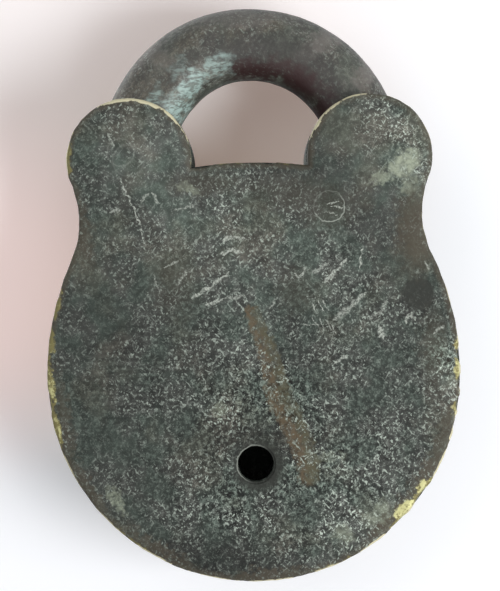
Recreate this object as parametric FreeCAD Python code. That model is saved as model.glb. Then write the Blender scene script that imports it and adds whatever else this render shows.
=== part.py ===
"""Round lever padlock with a hinged shackle: one STEP file for each piece.

Frame, in millimetres: +Z up as the lock hangs, +X to the right as seen from the back, +Y from the back plate to
the front. The origin is on the key's axis, at the outer face of the back plate. The lock is modelled closed but
unlocked: the bolt is drawn back and its fence stands in the gates of the lifted levers.
"""

import FreeCAD, Part
import math
import os

V = FreeCAD.Vector

# ---- case outline, seen from the back ---------------------------------------------------------------------------
CASE_R = 38.0            # round body
CASE_Z = 16.3            # its centre above the key's axis
SHOULDER_R = 51.0        # flatter arc from the body's widest point up to the waist
WAIST_R = 17.2           # hollow arc under each ear
EAR_R = 11.6
EAR_X = 22.1             # ears, shackle legs and hinge stand this far from the centre line
EAR_Z = 56.0
TOP_R = 82.0             # shallow crown of the case between the ears
TOP_DROP = 0.64          # the crown's highest point below the ears' centres

# ---- case walls -------------------------------------------------------------------------------------------------
PLATE_T = 3.5            # back plate
FRONT_T = 3.5            # front wall
RIM_T = 2.6              # side wall
BAR_SIDE = 0.6           # from each cheek to the shackle's bar
EDGE_ROUND = 0.9         # worn round on the outer edges of both faces
EAR_RIM_RISE = 4.0       # the rim ends this far above the ears' centres, and two bare cheeks go on
SILL_DROP = 7.0          # the left ear's rim is cut down this far below the hinge, for the leg to swing out

# ---- rivets -----------------------------------------------------------------------------------------------------
RIVET_R = 2.95
RIVET_CLEAR = 0.02
BOSS_WALL = 2.05         # round the plate rivets
TOE_RIVET_IN = 7.7       # the toe rivet from the right ear's centre, inwards and down
TOE_RIVET_DROP = 9.2
RIVET_INSET = 5.4        # the plate rivets from the case's edge
FLANK_ANGLE = 18.0       # the flank rivets' bearing about the shoulder's centre
LOW_ANGLES = (-45.0, -135.0)

# ---- shackle ----------------------------------------------------------------------------------------------------
BAR_R = 6.9
HEEL_WALL = 0.7          # the heel's eye is this much wider than the bar
HEEL_FLAT = 1.0          # from each cheek to the flat side of the heel or toe
HINGE_CLEAR = 0.06       # running fit on the hinge rivet
WASHER_R = 6.0
WASHER_GAP = 0.15
HOOK_T = 3.2             # the toe's hook under the notch
TOE_CHAMFER = 0.8
SWING_CLEAR = 0.6        # from the swinging shackle to whatever it passes

# ---- bolt -------------------------------------------------------------------------------------------------------
THROW = 5.0
BOLT_T = 4.0
BOLT_GAP = 0.2           # from the back plate
BAR_H = 6.96             # height of the bar that carries the nose
SLIDE_CLEAR = 0.08       # round posts, and under the toe rivet
STOP_CLEAR = 0.3         # left at the end of a slot
NOSE_CLEAR = 0.4         # from the drawn nose to the toe, and round the thrown nose in its notch
FORK_REACH = 6.0         # the fork's tips past the pivot post
TAIL_LEFT = -9.0
TAIL_BOTTOM = 7.4
TALON_HALF = 4.0         # half the width of the notch that the key's bit works in
TALON_TOP = 12.6
BIT_CLEAR_R = 8.5        # the tail is cut back to this radius about the key's axis
POST_R = 2.0             # lever pivot and bolt guide
POST_SEAT = 1.6          # how deep a post is pressed into its wall

# ---- levers -----------------------------------------------------------------------------------------------------
LEVERS = 5
LEVER_GAP = 0.3          # between levers, and from the bolt to the first
SPACER_T = 0.5
SPACER_GAP = 0.15
PIVOT_CLEAR = 0.06
LEVER_EYE_R = 5.2
LEVER_TOP_DROP = 0.4     # top corner of the free end, below the pivot
LEVER_JAW = 4.0          # bottom corner of the free end, below the fence
BELLY_HALF = 6.0
BELLY_RISE = 3.6         # the belly's ends above its lowest point
BELLIES = (11.6, 13.2, 12.0, 13.8, 12.6)    # lowest point of each lifted lever above the key's axis
LEVER_FALL = 10.0        # degrees that a lever falls while the bolt is thrown
FENCE_R = 1.3
FENCE_WALL = 1.3         # bolt left beside the fence
FENCE_DROP = 5.3         # the fence below the bolt's bar
FENCE_SEAT = 2.4
GATE_CLEAR = 0.3
GATE_STEPS = 4
GATE_RUN_OUT = 1.1       # the gate is cut this many throws along the fence's path
STOP_R = 1.8
STOP_GAP = 0.3

# ---- lever springs ----------------------------------------------------------------------------------------------
SPRING_T = 0.35
SPRING_SIDE = 0.25       # the leaf is narrower than its lever by this much on each side
SPRING_OUT = 10.0        # where the leaf leaves the lever, from the pivot
SPRING_UP = 2.2
SPRING_ROOT = 12.0       # degrees of the leaf's arc that sit in the lever
SPRING_CLEAR = 0.3       # from the leaf's tip to the case
SLIT_CLEAR = 0.03

# ---- keyhole and cover ------------------------------------------------------------------------------------------
NOSE_HOLE_R = 3.3        # hole for the key's nose in the back plate
NOSE_HOLE_CHAMFER = 0.4
KEYHOLE_R = 3.5
BIT_SLOT_HALF = 2.3
BIT_SLOT_END = -12.0
COVER_GAP = 0.3
COVER_T = 2.0
COVER_LAP = 3.0          # the cover reaches this far past the keyhole
COVER_PIN_Z = 18.0
COVER_TOP_R = 5.0
COVER_ROUND = 0.5
PIN_R = 2.0
PIN_HEAD_R = 4.2
PIN_HEAD_H = 1.7

# ---- what follows from these ------------------------------------------------------------------------------------
ROOM = 2 * (BAR_R + BAR_SIDE)           # clear depth inside
INNER_Y = PLATE_T + ROOM                # inner face of the front wall
DEPTH = INNER_Y + FRONT_T
MID_Y = PLATE_T + ROOM / 2
TOP_Z = EAR_Z - TOP_DROP
HINGE = (-EAR_X, EAR_Z)
HEEL_R = BAR_R + HEEL_WALL
WASHER_T = HEEL_FLAT - 2 * WASHER_GAP
SHOULDER = (CASE_R - SHOULDER_R, CASE_Z)
BOSS_R = RIVET_R + BOSS_WALL
TOE_RIVET = (EAR_X - TOE_RIVET_IN, EAR_Z - TOE_RIVET_DROP)
LEG_BOTTOM = TOE_RIVET[1] + RIVET_R + SWING_CLEAR    # the toe leg's round bar ends here
TOE_IN_R = math.dist(HINGE, TOE_RIVET) + RIVET_R + SWING_CLEAR    # the toe is curved about the hinge
TOE_OUT_R = 2 * EAR_X + BAR_R
BOLT_Y = PLATE_T + BOLT_GAP
BOLT_HIGH = TOE_RIVET[1] - RIVET_R - SLIDE_CLEAR
BOLT_LOW = BOLT_HIGH - BAR_H
PIVOT = (HINGE[0], BOLT_LOW + BAR_H / 2)
NOSE_R = TOE_IN_R - NOSE_CLEAR          # the nose's face is an arc about the hinge
TOE_TIP = BOLT_LOW - NOSE_CLEAR - HOOK_T
TOE_TIP_X = HINGE[0] + math.sqrt(TOE_IN_R ** 2 - (EAR_Z - TOE_TIP) ** 2)
TAIL_RIGHT = TOE_TIP_X - SWING_CLEAR - THROW         # the thrown bolt's tail stays clear of the toe
FENCE = (TAIL_RIGHT - FENCE_WALL - FENCE_R, BOLT_LOW - FENCE_DROP)
GUIDE_POST = ((TAIL_LEFT + TAIL_RIGHT + THROW) / 2, (TALON_TOP + FENCE[1]) / 2)
LEVER_Y = BOLT_Y + BOLT_T + LEVER_GAP
LEVER_T = (INNER_Y - LEVER_Y - SPACER_T - 2 * SPACER_GAP - (LEVERS - 1) * LEVER_GAP) / LEVERS
LEVERS_END_Y = INNER_Y - SPACER_T - 2 * SPACER_GAP
SPRING_FOOT = (PIVOT[0] + SPRING_OUT, PIVOT[1] + SPRING_UP)
COVER_DROP_Z = (KEYHOLE_R + BIT_SLOT_END) / 2
COVER_DROP_R = (KEYHOLE_R - BIT_SLOT_END) / 2 + COVER_LAP
FAR = 200.0                             # longer than anything here, for cutting tools


# ---- plain shapes -----------------------------------------------------------------------------------------------
def disc(centre, radius, y0, y1):
    """A cylinder along Y about a point (x, z)."""
    return Part.makeCylinder(radius, y1 - y0, V(centre[0], y0, centre[1]), V(0, 1, 0))


def block(x0, x1, y0, y1, z0, z1):
    return Part.makeBox(x1 - x0, y1 - y0, z1 - z0, V(x0, y0, z0))


def slab(edges, y0, y1):
    """A flat solid from a closed loop of edges drawn in the plane y = 0."""
    face = Part.Face(Part.Wire(Part.__sortEdges__(edges)))
    face.translate(V(0, y0, 0))
    return face.extrude(V(0, y1 - y0, 0))


def line(p, q):
    return Part.LineSegment(V(p[0], 0, p[1]), V(q[0], 0, q[1])).toShape()


def through(p, q, r):
    """The arc from p to r that passes q."""
    return Part.Arc(*[V(x, 0, z) for x, z in (p, q, r)]).toShape()


def polar(centre, radius, degrees):
    a = math.radians(degrees)
    return centre[0] + radius * math.cos(a), centre[1] + radius * math.sin(a)


def bearing(centre, point):
    return math.degrees(math.atan2(point[1] - centre[1], point[0] - centre[0]))


def arc(centre, radius, a0, a1):
    """The arc about centre from bearing a0 to bearing a1, in degrees."""
    return through(*[polar(centre, radius, a) for a in (a0, (a0 + a1) / 2, a1)])


def slot(p, q, half, y0, y1):
    """A round-ended slot between two points."""
    length = math.dist(p, q)
    side = (half * (q[1] - p[1]) / length, half * (p[0] - q[0]) / length)
    corners = [
        (p[0] + side[0], p[1] + side[1]),
        (q[0] + side[0], q[1] + side[1]),
        (q[0] - side[0], q[1] - side[1]),
        (p[0] - side[0], p[1] - side[1]),
    ]
    middle = slab([line(a, b) for a, b in zip(corners, corners[1:] + corners[:1])], y0, y1)
    return middle.fuse([disc(p, half, y0, y1), disc(q, half, y0, y1)])


def meeting(c0, r0, c1, r1, left):
    """Where two circles cross, to the left or right of the way from c0 to c1."""
    d = math.dist(c0, c1)
    along = (d * d + r0 * r0 - r1 * r1) / (2 * d)
    aside = math.sqrt(r0 * r0 - along * along) * (1 if left else -1)
    ux, uz = (c1[0] - c0[0]) / d, (c1[1] - c0[1]) / d
    return c0[0] + along * ux - aside * uz, c0[1] + along * uz + aside * ux


def turned(point, centre, degrees):
    """A point turned about centre, clockwise as seen from the back, which is the way that a lever falls."""
    a = math.radians(degrees)
    x, z = point[0] - centre[0], point[1] - centre[1]
    return (
        centre[0] + x * math.cos(a) + z * math.sin(a),
        centre[1] - x * math.sin(a) + z * math.cos(a),
    )


def outline(inset):
    """The case's outline, moved inwards by inset: every arc keeps its centre."""
    ear, body = (EAR_X, EAR_Z), (0.0, CASE_Z)
    waist = meeting(SHOULDER, SHOULDER_R + WAIST_R, ear, EAR_R + WAIST_R, False)
    top = (0.0, TOP_Z - TOP_R)
    corner = meeting(top, TOP_R - inset, ear, EAR_R - inset, True)
    to_waist = bearing(SHOULDER, waist)
    half = [
        arc(body, CASE_R - inset, -90, 0),
        arc(SHOULDER, SHOULDER_R - inset, 0, to_waist),
        arc(waist, WAIST_R + inset, to_waist + 180, bearing(waist, ear)),
        arc(ear, EAR_R - inset, bearing(ear, waist), bearing(ear, corner) % 360),
        arc(top, TOP_R - inset, bearing(top, corner), 90),
    ]
    return half + [e.mirror(V(0, 0, 0), V(1, 0, 0)) for e in half]


def rounded(solid, y, radius):
    """The solid with the edges of its face at y rounded."""
    edges = [
        e for e in solid.Edges
        if abs(e.BoundBox.YMin - y) < 1e-6 and abs(e.BoundBox.YMax - y) < 1e-6
    ]
    return solid.makeFillet(radius, edges)


def flank_rivets():
    """The seen rivet in the right flank, and the ones that hold the plate elsewhere."""
    right = polar(SHOULDER, SHOULDER_R - RIVET_INSET, FLANK_ANGLE)
    low = [polar((0.0, CASE_Z), CASE_R - RIVET_INSET, a) for a in LOW_ANGLES]
    return [right, (-right[0], right[1])] + low


# ---- case -------------------------------------------------------------------------------------------------------
def shackle_room():
    """What the case's rim leaves open for the shackle to hang and swing in, between the cheeks."""
    heel = block(-FAR, HINGE[0] + HEEL_R + SWING_CLEAR, PLATE_T, INNER_Y, EAR_Z - SILL_DROP, FAR)
    above = block(-FAR, FAR, PLATE_T, INNER_Y, EAR_Z + EAR_RIM_RISE, FAR)
    inner_r = TOE_OUT_R - 2 * BAR_R - 2 * SWING_CLEAR
    sweep = disc(HINGE, TOE_OUT_R + SWING_CLEAR, PLATE_T, INNER_Y).cut(disc(HINGE, inner_r, PLATE_T, INNER_Y))
    toe = sweep.common(block(0, FAR, PLATE_T, INNER_Y, BOLT_HIGH, FAR))
    return heel.fuse([above, toe])


def rivet_holes():
    return [disc(p, RIVET_R + RIVET_CLEAR, 0, DEPTH) for p in [HINGE, TOE_RIVET] + flank_rivets()]


def make_case_front():
    case = rounded(slab(outline(0), PLATE_T, DEPTH), DEPTH, EDGE_ROUND)
    case = case.cut(slab(outline(RIM_T), PLATE_T, INNER_Y))
    bosses = [disc(p, BOSS_R, PLATE_T, INNER_Y + FRONT_T / 2) for p in flank_rivets()]
    case = case.fuse(bosses).cut(shackle_room())
    seats = [disc(p, r, INNER_Y, INNER_Y + POST_SEAT) for p, r in ((PIVOT, POST_R), (stop_post_place(), STOP_R))]
    front_holes = [
        disc((0, COVER_PIN_Z), PIN_R, INNER_Y, DEPTH),
        disc((0, 0), KEYHOLE_R, INNER_Y, DEPTH),
        block(-BIT_SLOT_HALF, BIT_SLOT_HALF, INNER_Y, DEPTH, BIT_SLOT_END, 0),
    ]
    return case.cut(rivet_holes() + seats + front_holes).removeSplitter()


def make_back_plate():
    plate = rounded(slab(outline(0), 0, PLATE_T), 0, EDGE_ROUND)
    lip = Part.makeCone(NOSE_HOLE_R + NOSE_HOLE_CHAMFER, NOSE_HOLE_R, NOSE_HOLE_CHAMFER, V(0, 0, 0), V(0, 1, 0))
    holes = [disc((0, 0), NOSE_HOLE_R, 0, PLATE_T), lip, disc(GUIDE_POST, POST_R, PLATE_T - POST_SEAT, PLATE_T)]
    return plate.cut(rivet_holes() + holes)


def make_rivets(places):
    return Part.makeCompound([disc(p, RIVET_R, 0, DEPTH) for p in places])


# ---- shackle ----------------------------------------------------------------------------------------------------
def make_shackle():
    flat0, flat1 = PLATE_T + HEEL_FLAT, INNER_Y - HEEL_FLAT
    ring = Part.makeTorus(EAR_X, BAR_R, V(0, MID_Y, EAR_Z), V(0, 1, 0))
    bow = ring.common(block(-FAR, FAR, 0, DEPTH, EAR_Z, FAR))
    leg = Part.makeCylinder(BAR_R, EAR_Z - LEG_BOTTOM, V(EAR_X, MID_Y, LEG_BOTTOM), V(0, 0, 1))
    heel = disc(HINGE, HEEL_R, flat0, flat1)
    lands = [disc(HINGE, HEEL_R + SWING_CLEAR, y0, y1) for y0, y1 in ((0, flat0), (flat1, DEPTH))]
    tongue = disc(HINGE, TOE_OUT_R, flat0, flat1).cut(disc(HINGE, TOE_IN_R, flat0, flat1))
    tongue = tongue.common(block(0, FAR, flat0, flat1, TOE_TIP, (LEG_BOTTOM + EAR_Z) / 2))
    tip = [e for e in tongue.Edges if e.BoundBox.ZMax < TOE_TIP + 1e-6]
    tongue = tongue.makeChamfer(TOE_CHAMFER, tip)
    notch = disc((HINGE[0] + THROW, HINGE[1]), NOSE_R + NOSE_CLEAR, 0, DEPTH)
    notch = notch.common(block(0, FAR, 0, DEPTH, BOLT_LOW - NOSE_CLEAR, BOLT_HIGH + NOSE_CLEAR))
    shackle = bow.fuse([leg, heel]).cut(lands).fuse(tongue).cut(notch)
    return shackle.cut(disc(HINGE, RIVET_R + HINGE_CLEAR, 0, DEPTH)).removeSplitter()


def make_hinge_washers():
    washers = []
    for y in (PLATE_T + WASHER_GAP, INNER_Y - WASHER_GAP - WASHER_T):
        ring = disc(HINGE, WASHER_R, y, y + WASHER_T)
        washers.append(ring.cut(disc(HINGE, RIVET_R + HINGE_CLEAR, y, y + WASHER_T)))
    return Part.makeCompound(washers)


# ---- bolt -------------------------------------------------------------------------------------------------------
def make_bolt():
    y0, y1 = BOLT_Y, BOLT_Y + BOLT_T
    fork_tip = PIVOT[0] - FORK_REACH
    bar = block(fork_tip, FAR, y0, y1, BOLT_LOW, BOLT_HIGH).common(disc(HINGE, NOSE_R, y0, y1))
    tail = block(TAIL_LEFT, TAIL_RIGHT, y0, y1, TAIL_BOTTOM, BOLT_LOW)
    guide_start = (GUIDE_POST[0] - THROW - STOP_CLEAR, GUIDE_POST[1])
    guide_end = (GUIDE_POST[0] + STOP_CLEAR, GUIDE_POST[1])
    fork_end = (PIVOT[0] + STOP_CLEAR, PIVOT[1])
    cuts = [
        slot((fork_tip - POST_R, PIVOT[1]), fork_end, POST_R + SLIDE_CLEAR, y0, y1),
        slot(guide_start, guide_end, POST_R + SLIDE_CLEAR, y0, y1),
        disc((0, 0), BIT_CLEAR_R, y0, y1),
        block(-THROW / 2 - TALON_HALF, -THROW / 2 + TALON_HALF, y0, y1, 0, TALON_TOP),
        disc(FENCE, FENCE_R, y1 - FENCE_SEAT, y1),
    ]
    return bar.fuse(tail).cut(cuts).removeSplitter()


def make_bolt_fence():
    return disc(FENCE, FENCE_R, BOLT_Y + BOLT_T - FENCE_SEAT, LEVERS_END_Y + SPACER_GAP)


# ---- levers -----------------------------------------------------------------------------------------------------
def lever_y(i):
    return LEVER_Y + i * (LEVER_T + LEVER_GAP)


def lever_back_edge(belly):
    """The two ends of the lever's straight lower left edge."""
    return (-BELLY_HALF, belly + BELLY_RISE), polar(PIVOT, LEVER_EYE_R, 218)


def gate(y0, y1):
    """The way that the fence takes as the lever sees it, falling while the bolt is thrown."""
    path = []
    for k in range(GATE_STEPS + 1):
        share = GATE_RUN_OUT * k / GATE_STEPS
        path.append(turned((FENCE[0] + share * THROW, FENCE[1]), PIVOT, -share * LEVER_FALL))
    return [slot(p, q, FENCE_R + GATE_CLEAR, y0, y1) for p, q in zip(path, path[1:])]


def make_lever(i):
    y0, y1 = lever_y(i), lever_y(i) + LEVER_T
    belly = BELLIES[i % len(BELLIES)]
    left, eye = lever_back_edge(belly)
    right = (BELLY_HALF, belly + BELLY_RISE)
    top = polar(PIVOT, LEVER_EYE_R, 80)
    end_top = (TAIL_RIGHT, PIVOT[1] - LEVER_TOP_DROP)
    end_bottom = (TAIL_RIGHT, FENCE[1] - LEVER_JAW)
    plate = slab([
        line(top, end_top),
        line(end_top, end_bottom),
        line(end_bottom, right),
        through(right, (0, belly), left),
        line(left, eye),
        line(eye, top),
    ], y0, y1)
    lever = plate.fuse(disc(PIVOT, LEVER_EYE_R, y0, y1))
    slit = spring_leaf(SPRING_T / 2 + SLIT_CLEAR, y0, y1)
    return lever.cut(gate(y0, y1) + [slit, disc(PIVOT, POST_R + PIVOT_CLEAR, y0, y1)]).removeSplitter()


def spring_leaf(half, y0, y1):
    """A quarter arc that stands up out of the lever and lies along the case's top wall at its tip."""
    radius = TOP_Z - RIM_T - SPRING_CLEAR - SPRING_T / 2 - SPRING_FOOT[1]
    centre = (SPRING_FOOT[0] + radius, SPRING_FOOT[1])
    start = 180 + SPRING_ROOT
    ends = [[polar(centre, radius + s * half, a) for s in (-1, 1)] for a in (start, 90)]
    return slab([
        arc(centre, radius + half, start, 90),
        line(*ends[1]),
        arc(centre, radius - half, start, 90),
        line(*ends[0]),
    ], y0, y1)


def make_lever_spring(i):
    return spring_leaf(SPRING_T / 2, lever_y(i) + SPRING_SIDE, lever_y(i) + LEVER_T - SPRING_SIDE)


def stop_post_place():
    """Beside the lower left edge of the deepest lever when it has fallen."""
    low, high = [turned(p, PIVOT, LEVER_FALL) for p in lever_back_edge(min(BELLIES))]
    length = math.dist(low, high)
    out = ((low[1] - high[1]) / length, (high[0] - low[0]) / length)
    reach = STOP_R + STOP_GAP
    return (low[0] + high[0]) / 2 + reach * out[0], (low[1] + high[1]) / 2 + reach * out[1]


def make_lever_spacer():
    y0, y1 = LEVERS_END_Y + SPACER_GAP, INNER_Y - SPACER_GAP
    return disc(PIVOT, LEVER_EYE_R, y0, y1).cut(disc(PIVOT, POST_R + PIVOT_CLEAR, y0, y1))


# ---- keyhole cover ----------------------------------------------------------------------------------------------
def make_keyhole_cover():
    y0, y1 = DEPTH + COVER_GAP, DEPTH + COVER_GAP + COVER_T
    pin, drop = (0.0, COVER_PIN_Z), (0.0, COVER_DROP_Z)
    lean = math.degrees(math.asin((COVER_DROP_R - COVER_TOP_R) / (COVER_PIN_Z - COVER_DROP_Z)))
    upper = [polar(pin, COVER_TOP_R, a) for a in (lean, 180 - lean)]
    lower = [polar(drop, COVER_DROP_R, a) for a in (lean, 180 - lean)]
    cover = slab([
        arc(pin, COVER_TOP_R, lean, 180 - lean),
        line(upper[1], lower[1]),
        arc(drop, COVER_DROP_R, 180 - lean, 360 + lean),
        line(lower[0], upper[0]),
    ], y0, y1)
    return rounded(cover, y1, COVER_ROUND).cut(disc(pin, PIN_R + HINGE_CLEAR, y0, y1))


def make_cover_pin():
    seat = DEPTH + 2 * COVER_GAP + COVER_T
    shank = disc((0, COVER_PIN_Z), PIN_R, INNER_Y, seat)
    ball_r = (PIN_HEAD_R ** 2 + PIN_HEAD_H ** 2) / (2 * PIN_HEAD_H)
    ball = Part.makeSphere(ball_r, V(0, seat + PIN_HEAD_H - ball_r, COVER_PIN_Z))
    return shank.fuse(ball.common(block(-FAR, FAR, seat, FAR, -FAR, FAR))).removeSplitter()


def make_pieces():
    flank, *others = flank_rivets()
    pieces = {
        "case_front": make_case_front(),
        "back_plate": make_back_plate(),
        "shackle": make_shackle(),
        "shackle_rivet": make_rivets([HINGE]),
        "hinge_washers": make_hinge_washers(),
        "toe_rivet": make_rivets([TOE_RIVET]),
        "flank_rivet": make_rivets([flank]),
        "plate_rivets": make_rivets(others),
        "bolt": make_bolt(),
        "bolt_fence": make_bolt_fence(),
        "bolt_guide_post": disc(GUIDE_POST, POST_R, PLATE_T - POST_SEAT, BOLT_Y + BOLT_T),
        "lever_pivot_post": disc(PIVOT, POST_R, BOLT_Y, INNER_Y + POST_SEAT),
        "lever_spacer": make_lever_spacer(),
        "lever_stop_post": disc(stop_post_place(), STOP_R, LEVER_Y, INNER_Y + POST_SEAT),
        "keyhole_cover": make_keyhole_cover(),
        "cover_pin": make_cover_pin(),
    }
    for i in range(LEVERS):
        pieces[f"lever_{i + 1}"] = make_lever(i)
        pieces[f"lever_spring_{i + 1}"] = make_lever_spring(i)
    return pieces


def main():
    os.makedirs("parts", exist_ok=True)
    for name, shape in make_pieces().items():
        if not shape.isValid() or shape.Volume <= 0:
            raise ValueError(f"{name} isn't a valid solid")
        shape.exportStep(f"parts/{name}.step")
        box = shape.BoundBox
        print(
            f"{name:18s} solids {len(shape.Solids)} volume {shape.Volume:9.1f}"
            f"  x {box.XMin:6.1f} {box.XMax:6.1f}  y {box.YMin:5.1f} {box.YMax:5.1f}"
            f"  z {box.ZMin:6.1f} {box.ZMax:6.1f}"
        )


main()
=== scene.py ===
"""Round brass padlock with a forged shackle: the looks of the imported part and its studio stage."""

import math

import bmesh
import bpy
from bpy.props import FloatProperty, FloatVectorProperty, PointerProperty
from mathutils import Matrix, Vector, kdtree


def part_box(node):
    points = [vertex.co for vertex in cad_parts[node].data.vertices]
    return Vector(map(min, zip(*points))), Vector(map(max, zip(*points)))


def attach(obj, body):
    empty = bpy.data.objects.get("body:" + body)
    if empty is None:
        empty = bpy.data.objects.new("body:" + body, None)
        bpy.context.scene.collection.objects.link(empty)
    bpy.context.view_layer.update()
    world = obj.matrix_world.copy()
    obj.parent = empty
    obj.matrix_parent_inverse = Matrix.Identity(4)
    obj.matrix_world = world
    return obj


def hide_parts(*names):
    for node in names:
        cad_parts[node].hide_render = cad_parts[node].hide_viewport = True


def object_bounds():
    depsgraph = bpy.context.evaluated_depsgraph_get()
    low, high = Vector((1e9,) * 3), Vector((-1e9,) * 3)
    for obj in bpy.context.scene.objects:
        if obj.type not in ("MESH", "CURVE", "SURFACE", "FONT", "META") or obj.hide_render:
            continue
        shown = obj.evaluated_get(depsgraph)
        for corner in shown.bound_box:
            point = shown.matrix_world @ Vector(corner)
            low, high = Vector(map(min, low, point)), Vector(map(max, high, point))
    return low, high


bl_info = {
    "name": "Round Lever Padlock",
    "version": (1, 0, 0),
    "blender": (4, 5, 0),
    "location": "View3D > Sidebar > Padlock",
    "description": "Dresses the packed padlock with worn brass, forged iron and a studio stage",
    "category": "Object",
}

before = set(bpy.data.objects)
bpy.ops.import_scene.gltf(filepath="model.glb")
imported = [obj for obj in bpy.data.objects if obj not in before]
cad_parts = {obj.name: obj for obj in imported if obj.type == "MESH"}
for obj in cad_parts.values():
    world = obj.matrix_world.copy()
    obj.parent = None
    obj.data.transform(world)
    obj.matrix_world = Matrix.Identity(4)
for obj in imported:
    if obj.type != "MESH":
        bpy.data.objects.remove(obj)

MM = 0.001
BACK_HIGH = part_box("back_plate")[1]
CASE_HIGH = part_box("case_front")[1]
COVER_LOW, COVER_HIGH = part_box("keyhole_cover")
PIN_LOW, PIN_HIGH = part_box("cover_pin")
PIN_Z = (PIN_LOW.z + PIN_HIGH.z) / 2
CAD_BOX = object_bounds()

TOUCH = 0.01 * MM  # what lies this near counts as the same place
ARC_STEP = 0.4 * MM  # about the length of the straight bits of a drawn arc
HOLE_SIDES = 96
MANY_CORNERS = 8  # only the flat face inside an outline has more corners than this
ROUND_STEPS = 5  # faces across the plate's rounded edge
COVER_ROUND = 0.7 * MM
COVER_ROUND_STEPS = 4
FACE_RINGS = (0.3, 0.5, 0.8, 1.2)  # millimetres: rings of faces that carry the wear near an edge
RIM_REACH = 3.2 * MM  # how far inwards from the case's outline bare brass can show
COVER_RIM_REACH = 2.2 * MM
WORN_REACH = 1.8 * MM  # how far inwards from the outline material is worn off
INNER_FACE = 0.35 * MM  # the edge wear moves the inner face by less than this
WAIST_REACH = 9.0 * MM  # half the height of the hollow under each ear
RIVET_REACH = 7.0 * MM  # rivet ends further apart than this are separate rivets
PIN_HOLE = 2.06 * MM
BOW_PLACE = (-16.5 * MM, 67.0 * MM)  # where the left leg leans inwards most, and how far around it
BOW_REACH = 17.0 * MM
BOW_GRAIN = 0.42 * MM  # size of the faces that the hammer marks are made in

# Lamps: name, place in metres, side of its square, watts.
LAMPS = (
    ("key_lamp", (0.42, -0.46, -0.14), 0.34, 3.3),
    ("fill_lamp", (-0.38, -0.5, 0.3), 0.5, 0.8),
    ("front_lamp", (-0.36, 0.5, 0.34), 0.4, 2.6),
)
LAMP_AIM = Vector((0, 0.01, 0.03))
TABLE_SIZE = 2.4
TABLE_GAP = 0.3 * MM  # between the lock and the table
TABLE_HEIGHT = 0.03
# Painted glows on the table, warm near the bow and pink beside the lock, tint the lock's shadow.
WARM_PLACE = (-30.0 * MM, 45.0 * MM, 0.0)  # on the table: middle of its warm glow, and of its blush
PINK_GLOW_PLACE = (-54.0 * MM, 4.0 * MM, 0.0)
CAMERA_PLACE = (-0.42 * MM, -0.335, 30.83 * MM)
CAMERA_ROLL = math.radians(1.24)
CAMERA_LENS = 111.7

FLUSH_RIVETS = ("shackle_rivet", "toe_rivet", "flank_rivet", "plate_rivets")
BRASS_WORKS = ("lever_1", "lever_2", "lever_3", "lever_4", "lever_5", "lever_spacer", "hinge_washers")
STEEL_WORKS = ("bolt_fence", "bolt_guide_post", "lever_pivot_post", "lever_stop_post")
SPRINGS = tuple(f"lever_spring_{n}" for n in range(1, 6))

# Strokes left on the back plate: x, z of both ends, width, all in millimetres, then how bright.
SCRATCHES = (
    (-5.3, 41, -3, 41.7, 0.55, 0.9), (-3, 41.7, -0.9, 41.1, 0.5, 0.8), (-5.5, 38.2, -3.5, 39.4, 0.6, 0.9),
    (-3.5, 39.4, -1.7, 38.5, 0.7, 1), (-10.9, 30.6, -7.3, 32.8, 0.6, 0.95),
    (-7.3, 32.8, -4.1, 35.1, 0.5, 0.9), (-8.5, 29.1, -5.5, 30.3, 0.5, 0.9),
    (-5.5, 30.3, -1.4, 30.8, 0.45, 0.6), (-15.7, 36.3, -13.4, 37.5, 0.4, 0.7),
    (-13.6, 32.9, -12, 35.4, 0.45, 0.7), (-17.9, 34.8, -17, 31.7, 0.25, 0.6),
    (-20, 48.5, -18.6, 49.9, 0.5, 0.7), (-17.9, 49.9, -16.6, 47.9, 0.5, 0.7),
    (-25.7, 46.6, -23.7, 47.1, 0.55, 0.7), (-14.1, 46.7, -10.3, 47.5, 0.4, 0.6),
    (-23.8, 52.6, -21.5, 47.8, 0.22, 0.9), (-21.5, 47.8, -20.1, 43.7, 0.22, 0.9),
    (-20.1, 43.7, -19.5, 40.6, 0.22, 0.8), (-25.8, 61.2, -24.6, 58.7, 0.25, 0.7),
    (13.3, 33.1, 15.6, 35.2, 0.7, 0.8), (15.6, 35.2, 17.4, 37.4, 0.5, 0.9),
    (11.1, 34.5, 13.9, 36.4, 0.7, 0.6), (7.8, 34.6, 8.7, 33.8, 0.35, 0.8),
    (8.7, 33.8, 9.9, 35.8, 0.35, 0.8), (19.8, 35.3, 20.3, 39.2, 0.24, 1), (14.9, 26, 18, 28.4, 1, 0.7),
    (18, 28.4, 20.6, 30.9, 0.8, 0.8), (21.4, 26.2, 23.5, 27.5, 0.6, 0.5),
    (23.5, 27.5, 24.5, 29.3, 0.5, 0.7), (23, 24.8, 23.7, 22.4, 0.7, 0.9), (27.8, 25, 28.8, 27.2, 0.5, 0.8),
    (28.8, 27.2, 29.5, 25.7, 0.5, 0.7), (32.9, 23.3, 34.8, 24.4, 0.6, 0.7),
    (31.6, 36.5, 32.3, 35, 0.4, 0.7), (14.8, 18, 15.8, 19, 0.5, 0.8), (15.8, 19, 17, 19.4, 0.5, 0.9),
    (3.3, 28.3, 4.4, 30.3, 0.35, 0.6), (11, 29.1, 11.8, 27.3, 0.2, 0.9), (12, 29.5, 12.9, 27.6, 0.2, 1),
    (12.9, 29.7, 13.8, 27.9, 0.18, 0.8), (10.9, 26.6, 12, 24.6, 0.2, 0.8), (12.1, 26.4, 13, 24.5, 0.2, 0.9),
    (13.2, 26.2, 14.3, 24.2, 0.2, 0.9), (14.3, 25.3, 15.2, 23.5, 0.18, 0.7),
    (8.9, 25.3, 12, 25.2, 0.2, 0.6), (14, 47.4, 16.3, 47.6, 0.2, 0.8), (14.6, 46.9, 17, 46.5, 0.2, 0.9),
    (13.5, 45.8, 15.8, 45.3, 0.18, 0.6),
)
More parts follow.
